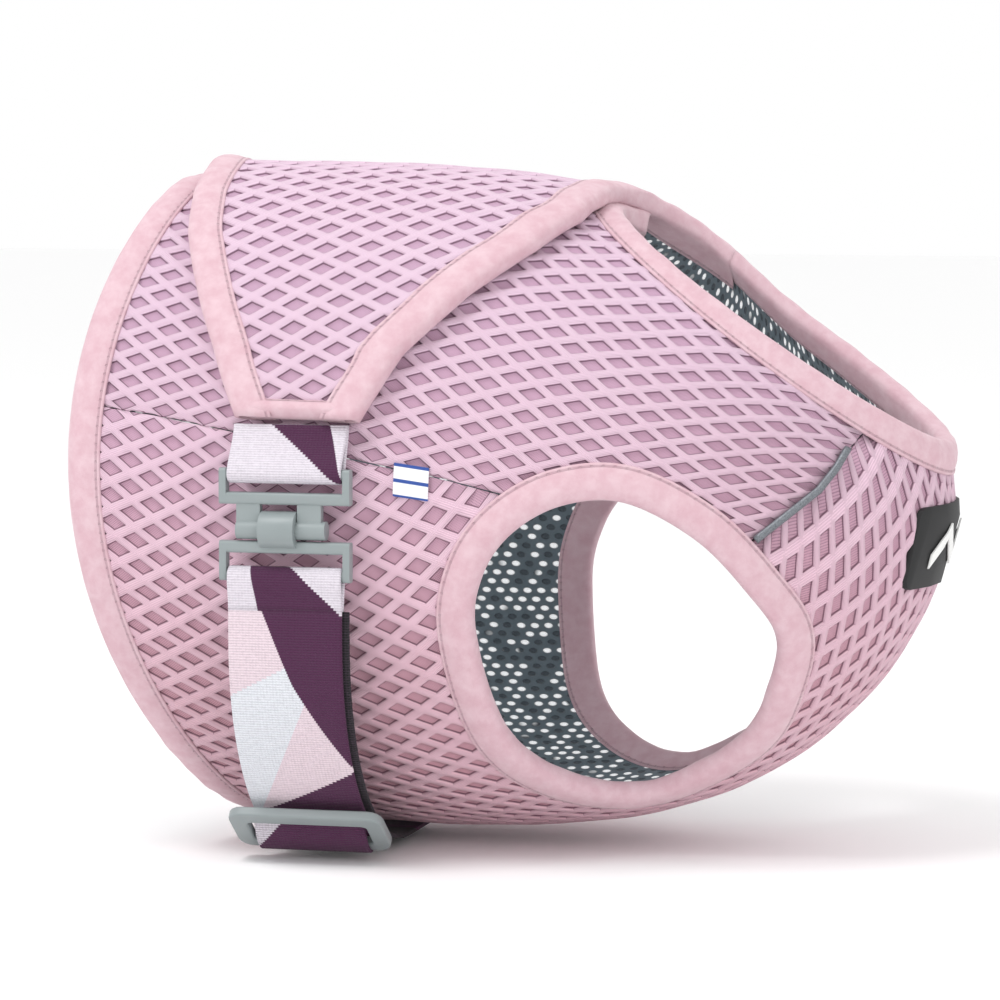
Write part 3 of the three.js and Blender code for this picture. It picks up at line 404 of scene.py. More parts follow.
# %% [markdown]
# Webbing is woven elastic: short weft loops in rows about 0.9 mm apart. The patterned side is
# woven in large straight-edged facets of four colours, laid out here by the lines between them,
# in millimetres from the left edge and down from the top of each piece. A facet is what lies on
# the right hand of every one of its lines, and its edge is stepped from row to row.

# %% Webbing
WHITE, BLUSH, ICE, PURPLE = (linear(c) for c in ("DDD6DF", "E3D1D9", "DFE2E8", "47163E"))
ROW, LOOP = 0.9, 1.1


def webbing_material(name, facets, base, dark=0.25):
    """facets is a list of (colour, lines)."""
    material, add, shader = new_material(name, roughness=0.85, sheen=0.05)
    parts = add("SeparateXYZ", add("UVMap", uv_map="millimetres"))
    across, along = parts.outputs[0], parts.outputs[1]
    stepped = add("MULTIPLY", add("ROUND", add("MULTIPLY", along, 1 / ROW)), ROW)
    colour = add("Mix", 0.0, base, base, **COLOUR)
    for tint, lines in facets:
        mask = None
        for (x0, y0), (x1, y1) in lines:
            size = math.hypot(x1 - x0, y1 - y0)
            right = add("SUBTRACT", add("MULTIPLY", add("SUBTRACT", across, x0), y1 - y0),
                        add("MULTIPLY", add("SUBTRACT", stepped, y0), x1 - x0))
            side = add("MapRange", add("MULTIPLY", right, -1 / size), -0.15, 0.15, **SMOOTH)
            mask = side if mask is None else add("MULTIPLY", mask, side)
        colour = add("Mix", mask, colour, tint, **COLOUR)
    rows = add("SINE", add("MULTIPLY", along, TURN / ROW))
    loops = add("SINE", add("MULTIPLY", across, TURN / LOOP))
    cloth_height = add("MULTIPLY", add("ADD", add("MULTIPLY", rows, 0.5), 0.5),
                       add("ADD", add("MULTIPLY", loops, 0.3), 0.7))
    fleck = add("TexNoise", add("TexCoord").outputs["Object"], 900.0, 3.0)
    # painted shade: the low places of the weave are darkened, broken up by a random fleck; dark says how much
    low = add("MapRange", add("ADD", cloth_height, fleck), 1.1, 0.4, **SMOOTH)
    colour = add("Mix", add("MULTIPLY", low, dark), colour, linear("4A3A4A"), **COLOUR)
    rough = add("ADD", cloth_height, add("MULTIPLY", fleck, 0.8))
    relief = add("Bump", 0.9, 0.25 * MM, rough, into=RELIEF_INPUTS)
    return finish_material(material, shader, colour, relief)


strap_webbing = webbing_material("patterned_elastic_strap", [
    (BLUSH, [((25.5, 0), (40, 14)), ((19.5, 31), (0, 41))]),
    (ICE, [((0, 41), (19.5, 31)), ((25, 45), (9, 78.5))]),
    (BLUSH, [((9, 78.5), (25, 45)), ((0, 41), (19.5, 31))]),
    (PURPLE, [((25.5, 0), (40, 14)), ((9.8, 7), (8.5, 0)), ((22, 37), (9.8, 7)), ((39.6, 68), (22, 37))]),
    (PURPLE, [((25, 78.5), (39.8, 69.5))]),
], WHITE)
loop_webbing = webbing_material("patterned_elastic_loop", [
    (PURPLE, [((39, 23), (13.5, 0)), ((33.5, 0), (40, 22))]),
], WHITE)
fold_webbing = webbing_material("patterned_elastic_fold", [
    (PURPLE, [((10.5, 12), (8.5, 0)), ((25.5, 0), (40, 14))]),
], WHITE)
plain_purple = linear("501E46")
purple_webbing = webbing_material("purple_elastic", [], plain_purple, 0.45)
slider_webbing = webbing_material("purple_elastic_slider_fold", [(WHITE, [((9, 4), (0, 14))])],
                                  plain_purple, 0.45)
black_webbing = webbing_material("black_elastic", [], linear("141215"), 0.5)

# %% [markdown]
# Buckle and slider are moulded acetal: a satin grey-green with a very fine spark-eroded grain and
# slightly polished edges. The badge is moulded rubber, the piping a reflective glass-bead tape,
# and the side tab a white woven label with plain blue stripes.

# %% Plastic, rubber, piping and label
def grained_material(name, light, dark, grain, depth, strength, flow=None, **more):
    """Two close colours and a grain, its depth in mm. grain and flow say a texture and its inputs."""
    material, add, shader = new_material(name, **more)
    place = add("TexCoord").outputs["Object"]
    fine = add(grain[0], place, *grain[1:])
    tone = add(flow[0], place, *flow[1:]) if flow else fine
    colour = add("Mix", tone, light, dark, **COLOUR)
    relief = add("Bump", strength, depth * MM, fine, into=RELIEF_INPUTS)
    gloss = add("MapRange", tone, 0.34, 0.5, into=["Value", "To Min", "To Max"]) if flow else None
    return finish_material(material, shader, colour, relief, Roughness=gloss)


def rubber_material(name, code, roughness):
    dark = [0.8 * c for c in linear(code)[:3]] + [1.0]
    return grained_material(name, linear(code), dark, ("TexNoise", 1800.0, 3.0), 0.05, 0.7, roughness=roughness)


def label_material():
    material, add, shader = new_material("woven_label", roughness=0.7, sheen=0.2)
    parts = add("SeparateXYZ", add("TexCoord").outputs["Object"])
    drop = add("ADD", parts.outputs[2], add("MULTIPLY", parts.outputs[0], 0.13))
    # stripes 0.6 mm wide repeat every 5.2 mm, over threads 0.6 mm apart
    near = add("PINGPONG", add("ADD", drop, 0.3 * MM), 2.6 * MM)
    stripe = add("MapRange", near, 1.9 * MM, 2.1 * MM, **SMOOTH)
    thread = add("SINE", add("MULTIPLY", drop, TURN / (0.6 * MM)))
    colour = add("Mix", stripe, linear("F4F5F7"), linear("2C4E9B"), **COLOUR)
    return finish_material(material, shader, colour, add("Bump", 0.7, 0.08 * MM, thread, into=RELIEF_INPUTS))


acetal = grained_material("moulded_acetal", linear("858E8F"), linear("939B9C"), ("TexNoise", 3000.0, 2.0),
                          0.03, 0.6, flow=("TexNoise", 60.0, 2.0), roughness=0.42, ior=1.48)
black_rubber = rubber_material("black_rubber", "111113", 0.6)
white_print = rubber_material("white_rubber_print", "F2F2F0", 0.5)
# the piping's glass beads are a fine grain, each painted lighter in its middle and darker at its rim: painted
# sparkle
piping = grained_material("glass_bead_piping", linear("84888D"), linear("555A60"), ("TexVoronoi", 2200.0),
                          0.08, 0.6, roughness=0.38, metallic=0.35)
label = label_material()
print("materials:", len(bpy.data.materials))

# %% [markdown]
# Every cloth piece starts as a flat grid that bmesh makes, with its corners then laid on the wrap.
# Cells outside the panel's edges are taken off, and corners that stick out are drawn back to the
# edge, as scissors would leave it.

# %% Cloth from a grid
def finish_piece(name, bm, material, smooth=True):
    mesh = bpy.data.meshes.new(name)
    bm.to_mesh(mesh)
    bm.free()
    mesh.polygons.foreach_set("use_smooth", [smooth] * len(mesh.polygons))
    mesh.materials.append(material)
    piece = bpy.data.objects.new(name, mesh)
    bpy.context.scene.collection.objects.link(piece)
    return piece


def cloth(name, xs, ys, place, keep, height, marks, uv_name, material, thickness):
    """xs and ys are grid lines. place gives u and angle, keep the distance inside the edges,
    height the relief and marks the pattern coordinates of each grid point."""
    bm = bmesh.new()
    bmesh.ops.create_grid(bm, x_segments=len(xs) - 1, y_segments=len(ys) - 1, size=1)
    number = bm.verts.layers.int.new("number")
    layer = bm.loops.layers.uv.new(uv_name)
    flat = np.array([v.co[:2] for v in bm.verts])
    for k, v in enumerate(bm.verts):
        v[number] = k
    x = xs[np.rint((flat[:, 0] + 1) / 2 * (len(xs) - 1)).astype(int)]
    y = ys[np.rint((flat[:, 1] + 1) / 2 * (len(ys) - 1)).astype(int)]
    u, angle, good = place(x, y)
    base, normal = on_wrap(u, angle)
    inside = np.where(good, keep(base, u, angle), -99.0)
    points = base + normal * height(x, y, inside)[:, None]
    mark = marks(x, y, u, angle)
    outside = [f for f in bm.faces if max(inside[v[number]] for v in f.verts) <= 0.05]
    bmesh.ops.delete(bm, geom=outside, context="FACES")
    for v in bm.verts:
        k = v[number]
        if inside[k] >= 0:
            continue
        near = [w[number] for f in v.link_faces for w in f.verts if inside[w[number]] > 0]
        n = min(near, key=lambda m: float(np.abs(points[m] - points[k]).sum()))
        t = inside[n] / (inside[n] - inside[k])
        points[k] = points[n] + (points[k] - points[n]) * t
        mark[k] = mark[n] + (mark[k] - mark[n]) * t
    for f in bm.faces:
        for corner in f.loops:
            corner[layer].uv = mark[corner.vert[number]]
    for v in bm.verts:
        v.co = points[v[number]] * MM
    bm.normal_update()
    if sum(f.normal.dot(Vector(normal[f.verts[0][number]])) for f in bm.faces) < 0:
        bmesh.ops.reverse_faces(bm, faces=bm.faces[:])
    piece = finish_piece(name, bm, material)
    shell_wall = piece.modifiers.new("cloth thickness", "SOLIDIFY")
    shell_wall.thickness = thickness * MM
    shell_wall.offset = -1
    print(name, "faces:", len(piece.data.polygons))
    return piece


# %% [markdown]
# The knit is cut in three panels. Each has its ribbons laid out in straight lines on the flat
# cloth: LONG by SHORT millimetres is one diamond, and its long way runs with the body.

# %% Where the ribbons of each panel lie
LONG, SHORT = 15.4, 8.4
RIBBON_TOP, RIBBON_FOOT = 0.165, 0.205
RELIEF = 1.15


def newton(residual, s, phi, steps=14):
    """Solves residual(s, phi) = 0 for every point at once."""
    h = 1e-4
    for _ in range(steps):
        r = residual(s, phi)
        rs = (residual(s + h, phi) - r) / h
        rp = (residual(s, phi + h) - r) / h
        det = rs[:, 0] * rp[:, 1] - rp[:, 0] * rs[:, 1]
        det = np.where(np.abs(det) < 1e-6, 1e-6, det)
        s = np.clip(s + np.clip((rp[:, 0] * r[:, 1] - r[:, 0] * rp[:, 1]) / det, -0.08, 0.08), -0.06, 1.06)
        phi = phi + np.clip((r[:, 0] * rs[:, 1] - rs[:, 0] * r[:, 1]) / det, -0.25, 0.25)
    return s, phi, np.abs(residual(s, phi)).max(1)


def lattice_lines(low, high):
    cuts = np.array([-RIBBON_FOOT, -RIBBON_TOP, RIBBON_TOP, RIBBON_FOOT])
    return (np.arange(low, high)[:, None] + cuts).ravel()


def ribbons_height(a, b, inside):
    near = np.minimum(np.abs(a - np.rint(a)), np.abs(b - np.rint(b)))
    rise = np.clip((RIBBON_FOOT - near) / (RIBBON_FOOT - RIBBON_TOP), 0, 1)
    hem = np.clip(inside / 2.5, 0, 1)
    return -0.9 + RELIEF * rise * hem + 0.25 * np.sin(a * 1.7) * np.sin(b * 1.3)


def flat_from_lattice(a, b):
    return LONG * (a + b) / 2, SHORT * (a - b) / 2


all_round = np.linspace(0, TURN, 121)
GIRTH = np.array([np.linalg.norm(np.diff(shell(s, all_round), axis=0), axis=1).sum()
                  for s in np.linspace(0, 1, 21)]) / TURN


def place_chest(a, b):
    """The chest panel is laid out by its distance from the tail edge and round the body."""
    s, c = flat_from_lattice(a, b)
    u = s / length_at(-180)
    for _ in range(8):
        angle = -180 + np.degrees(c / np.interp(u, np.linspace(0, 1, 21), GIRTH))
        u = (u + s / length_at(np.clip(angle, -330, -30))) / 2
    return np.clip(u, -0.05, 1.05), angle, (u > -0.05) & (u < 1.05) & (angle > -330) & (angle < -30)


def place_back(tilt, lowest, highest):
    """The back panels are laid out by x and by the distance round the body, turned by a tilt."""
    cosine, sine = math.cos(math.radians(tilt)), math.sin(math.radians(tilt))

    def place(a, b):
        s, c = flat_from_lattice(a, b)
        x = s * cosine - c * sine
        turned = -(s * sine + c * cosine) / 100

        def residual(s_, phi_):
            p = shell(s_, phi_)
            around = np.arctan2(p[:, 1], p[:, 2])
            around = around + 2 * math.pi * np.rint((phi_ - around) / (2 * math.pi))
            return np.stack([p[:, 0] - x, 100 * (around - turned)], 1)

        s_, phi_, miss = newton(residual, np.clip((x + 110) / 230, 0.02, 0.98), turned.copy())
        angle = np.degrees(phi_)
        good = (miss < 0.3) & (angle > lowest) & (angle < highest)
        return table(u_table, s_, angle), angle, good

    return place


HEM = 3.0


def declare_cut(piece, uv_name, to_flat):
    """Prints the size and area of a panel's flat cut, which is what its pattern coordinates cover."""
    uv = np.empty(2 * len(piece.data.loops))
    piece.data.uv_layers[uv_name].data.foreach_get("uv", uv)
    along, across = to_flat(uv[::2].reshape(-1, 4), uv[1::2].reshape(-1, 4))
    area = np.abs((along * np.roll(across, -1, 1) - np.roll(along, -1, 1) * across).sum(1)).sum() / 2
    width, length = np.ptp(across), np.ptp(along)
    print(piece.name, "cut %.0f by %.0f mm, %.0f cm2" % (width, length, area / 100))


def keep_chest(p, u, angle):
    n = length_at(angle)
    return np.minimum.reduce([below_seam(p) - 0.2, from_armhole(p) - HEM, u * n - HEM, (1 - u) * n - HEM])


def keep_right(p, u, angle):
    n = length_at(angle)
    return np.minimum.reduce([-below_seam(p) - 0.2, from_armhole(p) - HEM, u * n - HEM, (1 - u) * n - HEM,
                              (RIGHT_END - angle) * MM_PER_DEGREE - HEM, (angle + 170) * MM_PER_DEGREE])


def keep_left_and_wing(p, u, angle):
    n = length_at(angle)
    flank = angle > -330
    rear = (u - wing_edge(angle, 1)) * n * wing_slant(angle, 1)
    front = (wing_edge(angle, 2) - u) * n * wing_slant(angle, 2)
    seam_and_armhole = np.minimum(-below_seam(p) - 0.2, from_armhole(p) - HEM)
    return np.minimum.reduce([np.where(flank, seam_and_armhole, 99), rear - HEM, front - HEM,
                              (angle - WING_TIP) * MM_PER_DEGREE - HEM,
                              (-190 - angle) * MM_PER_DEGREE])


def knit_marks(a, b, u, angle):
    return np.stack([a, b], 1)


knit_make = (ribbons_height, knit_marks, "ribbons", knit, 0.9)
chest_knit = cloth("chest_belly_knit", lattice_lines(-24, 38), lattice_lines(-24, 38),
                   place_chest, keep_chest, *knit_make)
right_knit = cloth("right_back_knit", lattice_lines(-15, 35), lattice_lines(-33, 15),
                   place_back(12, -175, 30), keep_right, *knit_make)
left_knit = cloth("left_back_and_wing_knit", lattice_lines(27, 99), lattice_lines(-100, -27),
                  place_back(-4, -440, -185), keep_left_and_wing, *knit_make)

# %% [markdown]
# The left back panel and the wing are one cut of cloth that folds over the back, so they are one
# piece here. Its place is baked into its mesh, and it is tied to neither body.


def fold_over_back(piece):
    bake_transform(piece)


for piece, nodes in ((chest_knit, ["chest_belly_outer"]), (right_knit, ["right_back_outer"])):
    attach(piece, "vest")
    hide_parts(*nodes)
fold_over_back(left_knit)
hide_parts("left_back_outer", "wing_outer")
for piece in (chest_knit, right_knit, left_knit):
    declare_cut(piece, "ribbons", flat_from_lattice)

# %% [markdown]
# The lining follows the same edges on the inside. A plain grid of 4 mm cells is enough, because
# its holes are drawn by the material.

# %% Lining panels
def place_wrap(u, angle):
    return u, angle, np.full(len(u), True)


def lining_height(u, angle, inside):
    return -3.8 + 0.35 * np.sin(u * 31) * np.sin(np.radians(angle) * 17) * np.clip(inside / 12, 0, 1)


def lining_marks(x, y, u, angle):
    return np.stack([u * length_at(angle), np.radians(angle) * 95], 1)


even = np.linspace(-0.02, 1.02, 85)
for name, low, high, keep, nodes in (
    ("chest_belly_mesh", -330, -30, keep_chest, ["chest_belly_lining", "chest_belly_core"]),
    ("right_back_mesh", -150, 26, keep_right, ["right_back_lining", "right_back_core"]),
    ("left_back_and_wing_mesh", -434, -210, keep_left_and_wing,
     ["left_back_lining", "left_back_core", "wing_lining", "wing_core"]),
):
    piece = cloth(name, even, np.linspace(low, high, int((high - low) / 2.2)), place_wrap, keep,
                  lining_height, lining_marks, "millimetres", lining, 0.8)
    if "wing_lining" in nodes:
        fold_over_back(piece)
    else:
        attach(piece, "vest")
    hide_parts(*nodes)
    declare_cut(piece, "millimetres", lambda x, y: (x, y))

# %% [markdown]
# Binding is swept: one closed section of the folded tape is repeated along an edge and the
# sections are joined. The grid's two long sides are welded to close the section, and open ends
# are filled.

# %% Sweep a section along an edge
def swept(name, rings, along, material, closed=False, across=None):
    """rings[i, k] is point k of section i, in millimetres. along gives each section's distance."""
    count, points = rings.shape[:2]
    if closed:
        rings = np.concatenate([rings, rings[:1]])
        along = np.append(along, along[-1] + np.linalg.norm(rings[-1, 0] - rings[-2, 0]))
        count += 1
    around = np.concatenate([rings, rings[:, :1]], axis=1)
    if across is None:
        steps = np.linalg.norm(np.diff(around[0], axis=0), axis=1)
        across = np.concatenate([[0], np.cumsum(steps)])
    bm = bmesh.new()
    bmesh.ops.create_grid(bm, x_segments=count - 1, y_segments=points, size=1)
    layer = bm.loops.layers.uv.new("millimetres")
    for f in bm.faces:
        for corner in f.loops:
            i = round((corner.vert.co.x + 1) / 2 * (count - 1))
            k = round((corner.vert.co.y + 1) / 2 * points)
            corner[layer].uv = (across[k], along[i])
    for v in bm.verts:
        i, k = round((v.co.x + 1) / 2 * (count - 1)), round((v.co.y + 1) / 2 * points)
        v.co = around[i, k] * MM
    bmesh.ops.remove_doubles(bm, verts=bm.verts[:], dist=1e-7)
    ends = [e for e in bm.edges if e.is_boundary]
    if ends:
        bmesh.ops.holes_fill(bm, edges=ends, sides=0)
    bmesh.ops.recalc_face_normals(bm, faces=bm.faces[:])
    return finish_piece(name, bm, material)


# section of the folded tape: distance in from the edge, height over the outer cloth face
TAPE_SECTION = np.array([
    (12.0, 0.1), (11.95, 0.75), (11.2, 1.0), (10.7, 0.8), (10.1, 1.15), (8.2, 1.75), (5.6, 2.05), (3.2, 1.9),
    (1.2, 1.3), (0.1, 0.2), (-0.4, -1.2), (-0.45, -2.6), (-0.2, -4.0), (0.6, -5.1), (2.4, -5.6), (6.0, -5.7),
    (9.6, -5.3), (11.9, -4.9), (11.9, -4.35), (6.0, -4.3), (1.6, -4.1), (1.0, -2.1), (1.6, 0.0), (6.0, 0.1),
])
TAPE_ACROSS = np.concatenate([TAPE_SECTION[:, 0], TAPE_SECTION[:1, 0]])


def binding(name, count, at, closed=False):
    """at(t, d, h) gives the points at share t of the edge, d in from it and h above the cloth."""
    t = np.linspace(0, 1, count, endpoint=not closed)
    edge = at(t, np.zeros(count), np.zeros(count))
    along = np.concatenate([[0], np.cumsum(np.linalg.norm(np.diff(edge, axis=0), axis=1))])
    pucker = 0.16 * np.sin(along / 2.1) + 0.14 * np.sin(along / 3.7 + 1)
    rings = []
    for d, h in TAPE_SECTION:
        swell = pucker * (1 if h > 0.5 else 0.3 if h > -4 else -0.6)
        rings.append(at(t, np.full(count, d), h + swell * min(1, max(0, (11 - d) / 4))))
    return swept(name, np.stack(rings, 1), along, tape, closed, TAPE_ACROSS)


def ring_edge(start, end, at_neck):
    def at(t, d, h):
        angle = start + (end - start) * t
        u = d / length_at(angle)
        return on_wrap(1 - u if at_neck else u, angle, h)[0]
    return at


def wing_side(start, end, side):
    def at(t, d, h):
        angle = start + (end - start) * t
        step = d / length_at(angle) / wing_slant(angle, side)
        u = wing_edge(angle, side) + (step if side == 1 else -step)
        return on_wrap(u, angle, h)[0]
    return at


def wing_end(t, d, h):
    u0, u1 = wing_edge(WING_TIP, 1) + 0.02, wing_edge(WING_TIP, 2) - 0.02
    drawn_in = np.where(d > 1.3, 1.3 + (d - 1.3) * 0.3, d)
    return on_wrap(u0 + (u1 - u0) * t, WING_TIP + drawn_in / MM_PER_DEGREE, h - 0.35)[0]


def right_end(t, d, h):
    return on_wrap(0.05 + 0.9 * t, RIGHT_END - d / MM_PER_DEGREE, h - 0.3)[0]


def armhole_edge(side):
    def at(t, d, h):
        line = armhole_line(1 - t)
        guess = side * np.arccos(np.clip(line[:, 1] / 118, -1, 1))

        def seen(s, phi):
            return shell(s, phi)[:, [0, 2]] - line
        s, phi, _ = newton(seen, np.clip((line[:, 0] + 100) / 260, 0.05, 0.95), guess)
        edge, n = shell(s, phi), shell_normal(s, phi)
        tangent = np.roll(edge, -1, axis=0) - np.roll(edge, 1, axis=0)
        inward = np.cross(n, tangent) * side
        inward /= np.linalg.norm(inward, axis=1)[:, None]
        middle = edge.mean(0)
        if ((edge - middle) * inward).sum() < 0:
            inward = -inward
        goal = edge + inward * d[:, None]

        def near(s_, phi_):
            p = shell(s_, phi_)
            e = 1e-3
            return np.stack([((p - goal) * (shell(s_ + e, phi_) - p) / e / 200).sum(1),
                             ((p - goal) * (shell(s_, phi_ + e) - p) / e / 90).sum(1)], 1)
        s, phi, _ = newton(near, s, phi, 8)
        height = np.asarray(h, float)
        return shell(s, phi) + shell_normal(s, phi) * (height[:, None] if height.ndim else height)
    return at


# %% Binding on every edge
bindings = [
    (binding("tail_binding", 210, ring_edge(22, -300, False)), ["tail_edge_tape"], False),
    (binding("neck_binding", 150, ring_edge(22, -300, True)), ["neck_edge_tape"], False),
    (binding("wing_rear_binding", 90, wing_side(-300, WING_TIP - 0.3, 1)), ["wing_rear_tape"], True),
    (binding("wing_front_binding", 110, wing_side(-300, WING_TIP - 0.3, 2)), ["wing_front_tape"], True),
    (binding("right_end_binding", 60, right_end), ["right_end_tape"], False),
    (binding("right_armhole_binding", 130, armhole_edge(-1), True), ["right_armhole_tape"], False),
    (binding("left_armhole_binding", 130, armhole_edge(1), True), ["left_armhole_tape"], False),
]
for piece, nodes, folds in bindings:
    if folds:
        fold_over_back(piece)
    else:
        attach(piece, "vest")
    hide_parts(*nodes)
tip_binding = binding("wing_tip_binding", 16, wing_end)
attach(tip_binding, "wing")
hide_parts("wing_tip_tape")
print("bindings:", len(bindings) + 1)

# %% [markdown]
# The shoulder seam carries a thin reflective piping outside and a flat tape inside. Both follow
# the seam line, found on the shell from its side view.

# %% Piping and seam tape
PIPING_LINE = np.array([(104, -5), (110, 0), (116, 5), (123, 11), (128, 18), (131, 24)], float)


def seam_on_shell(side, count):
    t = np.linspace(0, len(PIPING_LINE) - 1, count)
    line = np.stack([np.interp(t, range(len(PIPING_LINE)), PIPING_LINE[:, k]) for k in (0, 1)], 1)
    guess = side * np.arccos(np.clip(line[:, 1] / 118, -1, 1))
    s, phi, _ = newton(lambda s_, phi_: shell(s_, phi_)[:, [0, 2]] - line,
                       np.clip((line[:, 0] + 100) / 260, 0.05, 0.95), guess)
    return s, phi


def along_line(points):
    tangent = np.gradient(points, axis=0)
    return tangent / np.linalg.norm(tangent, axis=1)[:, None]


def seam_sweep(name, side, section, material):
    s, phi = seam_on_shell(side, 26)
    middle, n = shell(s, phi), shell_normal(s, phi)
    sideways = np.cross(n, along_line(middle))
    rings = np.stack([middle + sideways * a + n * h for a, h in section], 1)
    length = np.concatenate([[0], np.cumsum(np.linalg.norm(np.diff(middle, axis=0), axis=1))])
    return swept(name, rings, length, material)


CORD = 1.35
round_section = [(CORD * math.cos(a), 1.1 + CORD * math.sin(a)) for a in np.linspace(0, TURN, 14)[:-1]]
flat_section = [(-6, -4.75), (-5.7, -5.35), (0, -5.5), (5.7, -5.35), (6, -4.75),
                (5.6, -4.65), (0, -4.7), (-5.6, -4.65)]
for side, word in ((-1, "right"), (1, "left")):
    cord_piece = seam_sweep(word + "_shoulder_piping", side, round_section, piping)
    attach(cord_piece, "vest")
    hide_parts(word + "_piping")
    inner = seam_sweep(word + "_shoulder_seam_tape", side, flat_section, tape)
    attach(inner, "vest")
    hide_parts(word + "_seam_tape")

# %% [markdown]
# Webbing bands are swept too. Their path lies in the upright plane across the body, and their
# section is a flat band with rounded edges. The numbers for the path are those of the buckle's
# bars and of the strap's curve round the flank.

# %% Webbing bands
WIDE, THICK = 39.4, 1.5
BUCKLE_X, BAR_Y = -48.0, -101.0
UPPER_BAR_Z, LOWER_BAR_Z = 16.0, -17.5
CURVE_R, CURVE_Y, CURVE_Z = 75.0, -25.0, -40.18
LAYER = 2.2
FOLD_END_Z = -29.5
# the back layer of the strap and its anchor sit 2 mm nearer the neck than the front layer
BACK_X = BUCKLE_X + 2
# the pattern's first 12 mm are on the hook's fold, and the strap takes it up from there
FIRST_ROW = 12.0


def arc(y, z, radius, start, end, steps):
    return [(y + radius * math.cos(math.radians(a)), z + radius * math.sin(math.radians(a)))
            for a in np.linspace(start, end, steps + 1)]


def band_section(width, thick):
    half, r = width / 2, thick / 2
    flat = np.linspace(-half + r, half - r, 12)
    edge = half - r * 0.3
    front = [(a, r) for a in flat] + [(edge, r * 0.7), (half, 0), (edge, -r * 0.7)]
    back = [(a, -r) for a in flat[::-1]] + [(-edge, -r * 0.7), (-half, 0), (-edge, r * 0.7)]
    return front + back


def webbing_band(name, path, material, body, nodes, x_middle=BUCKLE_X, start=0.0, front=-1, onward=1):
    """path is (y, z) points, evenly respaced; front turns the patterned face outwards."""
    path = np.array(path, float)
    run = np.concatenate([[0], np.cumsum(np.linalg.norm(np.diff(path, axis=0), axis=1))])
    even = np.linspace(0, run[-1], max(6, int(run[-1] / 2.0)))
    line = np.stack([np.interp(even, run, path[:, k]) for k in (0, 1)], 1)
    for _ in range(2):
        line[1:-1] = (line[:-2] + 2 * line[1:-1] + line[2:]) / 4
    tangent = along_line(line)
    normal = np.stack([tangent[:, 1], -tangent[:, 0]], 1) * front
    section = band_section(WIDE, THICK)
    rings = [np.column_stack([np.full(len(line), x_middle + a), line + normal * h]) for a, h in section]
    across = np.array([a + WIDE / 2 for a, _ in [*section, section[0]]])
    piece = swept(name, np.stack(rings, 1), start + onward * even, material, across=across)
    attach(piece, body)
    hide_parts(*nodes)
    return piece


def band_at_slider(points):
    """Points drawn flat on the strap at the slider, turned onto the strap's curve."""
    a = math.radians(54)
    radius = CURVE_R + LAYER + THICK / 2 + 0.3
    cosine, sine = math.cos(a), math.sin(a)
    return [(CURVE_Y - cosine * (radius + z) - sine * y, CURVE_Z - sine * (radius + z) + cosine * y)
            for y, z in points]


tip = on_wrap((wing_edge(WING_TIP, 1) + wing_edge(WING_TIP, 2)) / 2, WING_TIP, -2.0)[0]
wrap = 2 + 0.3 + THICK / 2
loop_path = [(tip[1] - 0.9, tip[2] - 2.4), (tip[1] - 1.5, tip[2] - 5.4),
             *arc(BAR_Y, UPPER_BAR_Z, wrap, 170, 370, 14),
             (tip[1] + 0.3, tip[2] - 5.4), (tip[1] + 0.9, tip[2] - 2.4)]
webbing_band("upper_loop_webbing", loop_path, loop_webbing, "wing", ["upper_loop"])
hook_path = [(-100 - LAYER, FOLD_END_Z + 0.15), (-100 - LAYER, FOLD_END_Z + 3),
             *arc(BAR_Y, LOWER_BAR_Z, wrap, 190, -10, 14),
             (-100, FOLD_END_Z + 3), (-100, FOLD_END_Z + 0.15)]
webbing_band("hook_fold_webbing", hook_path, fold_webbing, "hook", ["hook_fold"],
             start=FIRST_ROW, front=1, onward=-1)
front_path = [(CURVE_Y - CURVE_R - LAYER, FOLD_END_Z + 0.1),
              *arc(CURVE_Y, CURVE_Z, CURVE_R + LAYER, 180, 243, 30)]
webbing_band("belly_strap_front_webbing", front_path, strap_webbing, "belly_strap", ["strap_front"],
             start=FIRST_ROW)
back_path = [(CURVE_Y - CURVE_R, FOLD_END_Z + 0.1), *arc(CURVE_Y, CURVE_Z, CURVE_R, 180, 270, 40),
             (-15.15, CURVE_Z - CURVE_R)]
webbing_band("belly_strap_back_webbing", back_path, black_webbing, "belly_strap", ["strap_back"],
             x_middle=BACK_X)
anchor_path = [(-14.85, CURVE_Z - CURVE_R), (12.15, CURVE_Z - CURVE_R)]
webbing_band("strap_anchor_webbing", anchor_path, purple_webbing, "vest", ["strap_anchor"],
             x_middle=BACK_X)
slot_middle, half = 2.1 + 1.75, 1.75 + 0.3 + 0.75
fold_points = [(4.3, 0.9), (-4.5, slot_middle + half)]
fold_points += [(y, z + slot_middle) for y, z in arc(-10.55, 0, half, 90, 270, 12)]
fold_points.append((-6.0, slot_middle - half))
webbing_band("slider_fold_webbing", band_at_slider(fold_points), slider_webbing, "slider", ["slider_fold"])

# %% [markdown]
# Moulded and printed pieces keep the CAD shape. A copy of each is merged, its flat faces are
# joined and its sharp edges are rounded, as a mould leaves them.

# %% Moulded pieces
def moulded(node, name, radius, material, body, segments=3):
    bm = bmesh.new()
    bm.from_mesh(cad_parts[node].data)
    bmesh.ops.remove_doubles(bm, verts=bm.verts[:], dist=2e-5)
    bmesh.ops.dissolve_limit(bm, angle_limit=math.radians(1.5), verts=bm.verts[:], edges=bm.edges[:])
    sharp = [e for e in bm.edges if len(e.link_faces) == 2 and e.calc_face_angle(0) > math.radians(35)]
    bmesh.ops.bevel(bm, geom=sharp, offset=radius * MM, segments=segments, profile=0.5, affect="EDGES",
                    material=-1, clamp_overlap=True)
    bmesh.ops.recalc_face_normals(bm, faces=bm.faces[:])
    bmesh.ops.triangulate(bm, faces=[f for f in bm.faces if len(f.verts) > 4])
    piece = finish_piece(name, bm, material)
    piece.data.set_sharp_from_angle(angle=math.radians(40))
    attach(piece, body)
    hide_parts(node)
    print(name, "faces:", len(piece.data.polygons))
    return piece


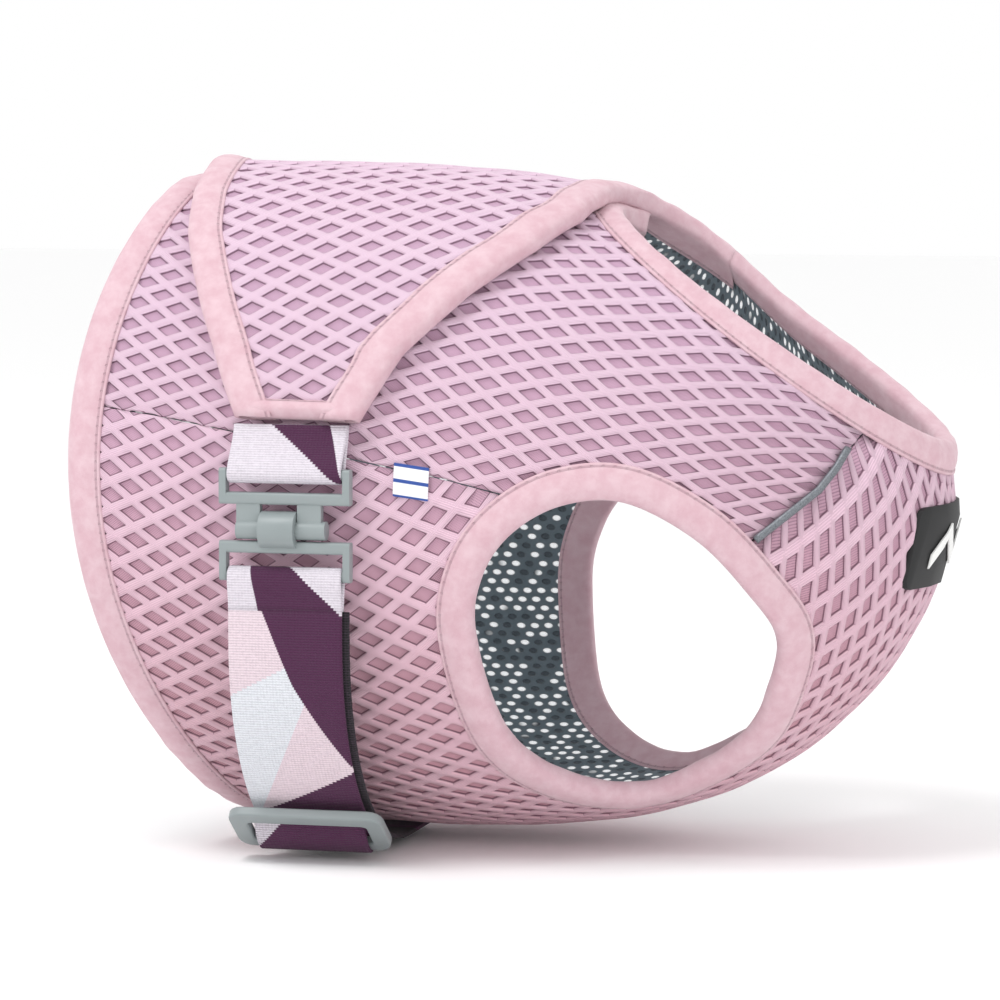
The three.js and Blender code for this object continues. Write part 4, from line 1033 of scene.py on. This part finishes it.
moulded("buckle_bar_half", "buckle_bar_half_moulding", 0.55, acetal, "wing")
moulded("buckle_hook_half", "buckle_hook_half_moulding", 0.55, acetal, "hook")
moulded("slider_frame", "slider_moulding", 0.5, acetal, "slider")
moulded("chest_badge", "chest_badge_moulding", 0.35, black_rubber, "vest")
moulded("badge_mark", "badge_mark_print", 0.15, white_print, "vest")
moulded("side_tab", "side_tab_label", 0.2, label, "vest")

# %% [markdown]
# The vest is shown held up, so the floor lies just under its lowest strap. Soft light comes from a
# white room with large lamps over the back and to the right of the camera.

# %% Floor, light and camera
FLOOR = -0.1185
bm = bmesh.new()
bmesh.ops.create_grid(bm, x_segments=1, y_segments=1, size=6)
for v in bm.verts:
    v.co.z = FLOOR
floor_material, _, shader = new_material("pale_floor", roughness=0.9)
shader.inputs["Base Color"].default_value = (0.97, 0.97, 0.97, 1)
finish_piece("floor", bm, floor_material, smooth=False)

world = bpy.data.worlds.new("white_room")
world.use_nodes = True
world.node_tree.nodes["Background"].inputs["Color"].default_value = (1, 1, 1, 1)
world.node_tree.nodes["Background"].inputs["Strength"].default_value = 1.0
bpy.context.scene.world = world
bpy.context.scene.view_settings.view_transform = "Standard"


def lamp(name, place, size, power):
    light = bpy.data.lights.new(name, "AREA")
    light.shape, light.size, light.energy = "DISK", size, power
    obj = bpy.data.objects.new(name, light)
    obj.location = place
    obj.rotation_euler = (Vector((0, 0, 0)) - Vector(place)).to_track_quat("-Z", "Y").to_euler()
    bpy.context.scene.collection.objects.link(obj)


lamp("over_the_back", (-0.5, -0.7, 1.5), 0.7, 12)
lamp("front_fill", (1.1, -1.4, 0.5), 0.9, 3)

AZIMUTH, ELEVATION, DISTANCE = math.radians(14), math.radians(5), 1.6
camera = bpy.data.cameras.new("camera")
camera.lens, camera.sensor_width = 164.6, 36
eye = bpy.data.objects.new("camera", camera)
level = DISTANCE * math.cos(ELEVATION)
eye.location = (level * math.sin(AZIMUTH), -level * math.cos(AZIMUTH), DISTANCE * math.sin(ELEVATION))
eye.rotation_euler = (-eye.location).to_track_quat("-Z", "Y").to_euler()
bpy.context.scene.collection.objects.link(eye)
bpy.context.scene.camera = eye
print("camera at", [round(c, 3) for c in eye.location])
